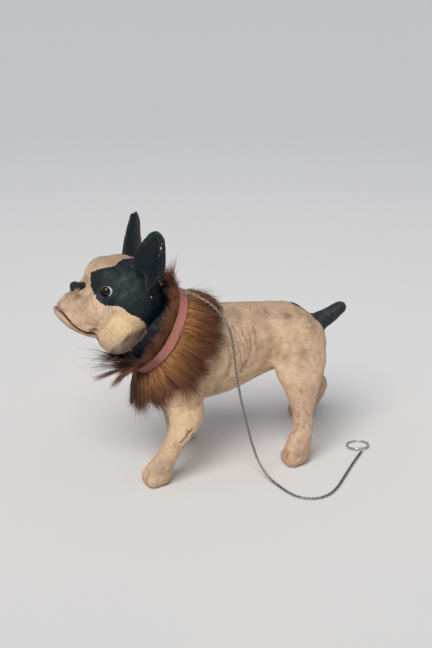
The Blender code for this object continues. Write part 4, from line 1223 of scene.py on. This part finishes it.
class BULLDOG_OT_chain(bpy.types.Operator):
    """Hangs the chain link by link and lays its ring on the floor"""

    bl_idname = "bulldog.chain"
    bl_label = "Chain and ring"

    def execute(self, context):
        chain = context.scene.bulldog_chain
        steel = old_steel(chain)
        pitch = chain.link_length - 4 * chain.wire
        line = smooth_line([at(place) for place in CHAIN_ROUTE], pitch)
        for _ in range(CHAIN_SOFTENING):
            line[1:-1] = (line[:-2] + 2 * line[1:-1] + line[2:]) / 4
        deselect()
        bpy.ops.mesh.primitive_torus_add(
            major_segments=14,
            minor_segments=6,
            major_radius=chain.link_width / 2 - chain.wire,
            minor_radius=chain.wire,
        )
        link = context.object
        extra = (chain.link_length - chain.link_width) / 2
        low, high = chain.link_length * 0.20, chain.link_length * 0.42
        ends = link.data.attributes.new("link_end", "FLOAT", "POINT")
        for vert, end in zip(link.data.vertices, ends.data):
            vert.co.x += math.copysign(extra, vert.co.x)
            end.value = ease(abs(vert.co.x), low, high)
        links = []
        for i, (start, end) in enumerate(zip(line[:-1], line[1:])):
            ahead = Vector(end - start).normalized()
            flat = ahead.cross(Vector((0, 0, 1)) if abs(ahead.z) < 0.9 else Vector((0, 1, 0))).normalized()
            way = Matrix((ahead, flat, ahead.cross(flat))).transposed()
            roll = Matrix.Rotation(math.radians(LINK_ROLL_DEG if i % 2 else -LINK_ROLL_DEG), 3, "X")
            mesh = link.data.copy()
            mesh.transform(Matrix.Translation(Vector(start + end) / 2) @ (way @ roll).to_4x4())
            links.append(placed(f"link_{i}", mesh))
        bpy.data.objects.remove(link)
        deselect()
        for made in links:
            made.select_set(True)
        context.view_layer.objects.active = links[0]
        bpy.ops.object.join()
        piece = context.object
        piece.name = "chain_links"
        piece.data.shade_smooth()
        dress(piece, steel, "root")
        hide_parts("chain")

        low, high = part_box("pull_ring")
        wire = 1.5 * MM
        ring = self.ring("finger_ring", (high.x - low.x) / 2 - wire, wire, (96, 16))
        tilt = math.asin(min(1, ((high.z - low.z) / 2 - wire) / ((high.y - low.y) / 2)))
        for vert in ring.data.vertices:
            turn = math.atan2(vert.co.y, vert.co.x)
            vert.co.z += 0.35 * MM * math.sin(3 * turn + 1)
            vert.co.x *= 1 + 0.012 * math.sin(2 * turn)
        ring.data.transform(Matrix.Translation((low + high) / 2) @ Matrix.Rotation(-tilt, 4, "X"))
        lowest = min(vert.co.z for vert in ring.data.vertices)
        ring.data.transform(Matrix.Translation((0, 0, max(0.0, low.z - lowest))))
        dress(ring, steel, "root")
        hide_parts("pull_ring")

        low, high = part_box("collar_loop")
        centre = (low + high) / 2
        turn = math.radians(20)
        out = (around_neck(turn, 0, 0.01) - around_neck(turn, 0, 0)).normalized()
        loop = self.ring("wire_eye", 4.0 * MM, 0.9 * MM, (32, 10))
        way = Matrix((NECK_AXIS, out, NECK_AXIS.cross(out))).transposed()
        loop.data.transform(Matrix.Translation(centre) @ way.to_4x4())
        dress(loop, steel, "root")
        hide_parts("collar_loop")
        return {"FINISHED"}

    def ring(self, name, radius, wire, sides):
        deselect()
        bpy.ops.mesh.primitive_torus_add(
            major_segments=sides[0], minor_segments=sides[1], major_radius=radius, minor_radius=wire
        )
        made = bpy.context.object
        made.name = name
        made.data.shade_smooth()
        return made


# The camera stands at the photograph's angle, and its place is in metres from the floor point.
CAMERA_PLACE = (-0.764, -2.162, 1.144)
CAMERA_YAW_DEG = 20.3
CAMERA_PITCH_DEG = 21.5
CAMERA_LENS = 83.3
SENSOR_WIDTH = 36
FLOOR_RADIUS = 16
FLOOR_CLOUD = (0.56, 0.57, 0.64)
HORIZON = (0.385, 0.392, 0.42)
KEY_FROM = (-0.55, -0.62, 1.0)
KEY_SPREAD_DEG = 36
KEY_TINT = (1.0, 0.985, 0.95)
SKY_TINT = (0.90, 0.91, 1.0, 1)


class BULLDOG_OT_stage(bpy.types.Operator):
    """Makes the pale floor, the soft lights and the camera"""

    bl_idname = "bulldog.stage"
    bl_label = "Stage"

    def execute(self, context):
        stage = context.scene.bulldog_stage
        deselect()
        bpy.ops.mesh.primitive_circle_add(vertices=96, radius=FLOOR_RADIUS, fill_type="NGON")
        table = context.object
        table.name = "pale_floor"
        pale = Finish("pale_floor", Roughness=0.8, Specular_IOR_Level=0.1)
        away = pale.node("VectorMath", {0: pale.place}, "Value", operation="LENGTH")
        # Painted shade: the floor is painted darker with distance, and darker still towards the horizon, as
        # the light falls off.
        color = pale.mix(pale.span(away, 0.1, 2.7), stage.floor[:], stage.floor_away[:])
        color = pale.mix(pale.span(pale.noise(2.2, 3), 0.35, 0.7, 0.0, 0.05), color, FLOOR_CLOUD)
        color = pale.mix(pale.span(away, 3.5, 12.0), color, HORIZON)
        table.data.materials.append(pale.wire(color))

        data = bpy.data.lights.new("key", "SUN")
        data.energy = stage.key_power
        data.angle = math.radians(KEY_SPREAD_DEG)
        data.color = KEY_TINT
        key = placed("key", data)
        key.rotation_euler = Vector(KEY_FROM).to_track_quat("Z", "Y").to_euler()
        world = bpy.data.worlds.new("even_light")
        context.scene.world = world
        world.use_nodes = True
        light = world.node_tree.nodes["Background"].inputs
        light["Color"].default_value = SKY_TINT
        light["Strength"].default_value = stage.sky

        data = bpy.data.cameras.new("camera")
        data.lens = CAMERA_LENS
        data.sensor_width = SENSOR_WIDTH
        camera = placed("camera", data)
        camera.location = FLOOR_POINT + Vector(CAMERA_PLACE)
        camera.rotation_euler = Euler((math.radians(90 - CAMERA_PITCH_DEG), 0, -math.radians(CAMERA_YAW_DEG)))
        context.scene.camera = camera
        context.scene.view_settings.view_transform = "Standard"
        return {"FINISHED"}


OPERATORS = (
    BULLDOG_OT_stage,
    BULLDOG_OT_body,
    BULLDOG_OT_head,
    BULLDOG_OT_jaw,
    BULLDOG_OT_eyes,
    BULLDOG_OT_ruff,
    BULLDOG_OT_collar,
    BULLDOG_OT_chain,
)
GROUPS = (PaintProps, FigureProps, RuffProps, CollarProps, ChainProps, StageProps)


class BULLDOG_PT_panel(bpy.types.Panel):
    """Lists the pieces in the 3D view's sidebar"""

    bl_label = "Bulldog"
    bl_idname = "BULLDOG_PT_panel"
    bl_space_type = "VIEW_3D"
    bl_region_type = "UI"
    bl_category = "Bulldog"

    def draw(self, context):
        for operator in OPERATORS:
            self.layout.operator(operator.bl_idname)


CLASSES = GROUPS + OPERATORS + (BULLDOG_PT_panel,)
SETTINGS = [f"bulldog_{piece}" for piece in ("paint", "figure", "ruff", "collar", "chain", "stage")]


def register():
    for item in CLASSES:
        bpy.utils.register_class(item)
    for name, group in zip(SETTINGS, GROUPS):
        setattr(bpy.types.Scene, name, PointerProperty(type=group))


def unregister():
    for name in SETTINGS:
        delattr(bpy.types.Scene, name)
    for item in reversed(CLASSES):
        bpy.utils.unregister_class(item)


def main():
    register()
    painted_pulp(bpy.context.scene.bulldog_paint)
    bpy.ops.bulldog.stage()
    bpy.ops.bulldog.body()
    bpy.ops.bulldog.head()
    bpy.ops.bulldog.jaw()
    bpy.ops.bulldog.eyes()
    bpy.ops.bulldog.ruff()
    bpy.ops.bulldog.collar()
    bpy.ops.bulldog.chain()


if __name__ == "__main__":
    main()
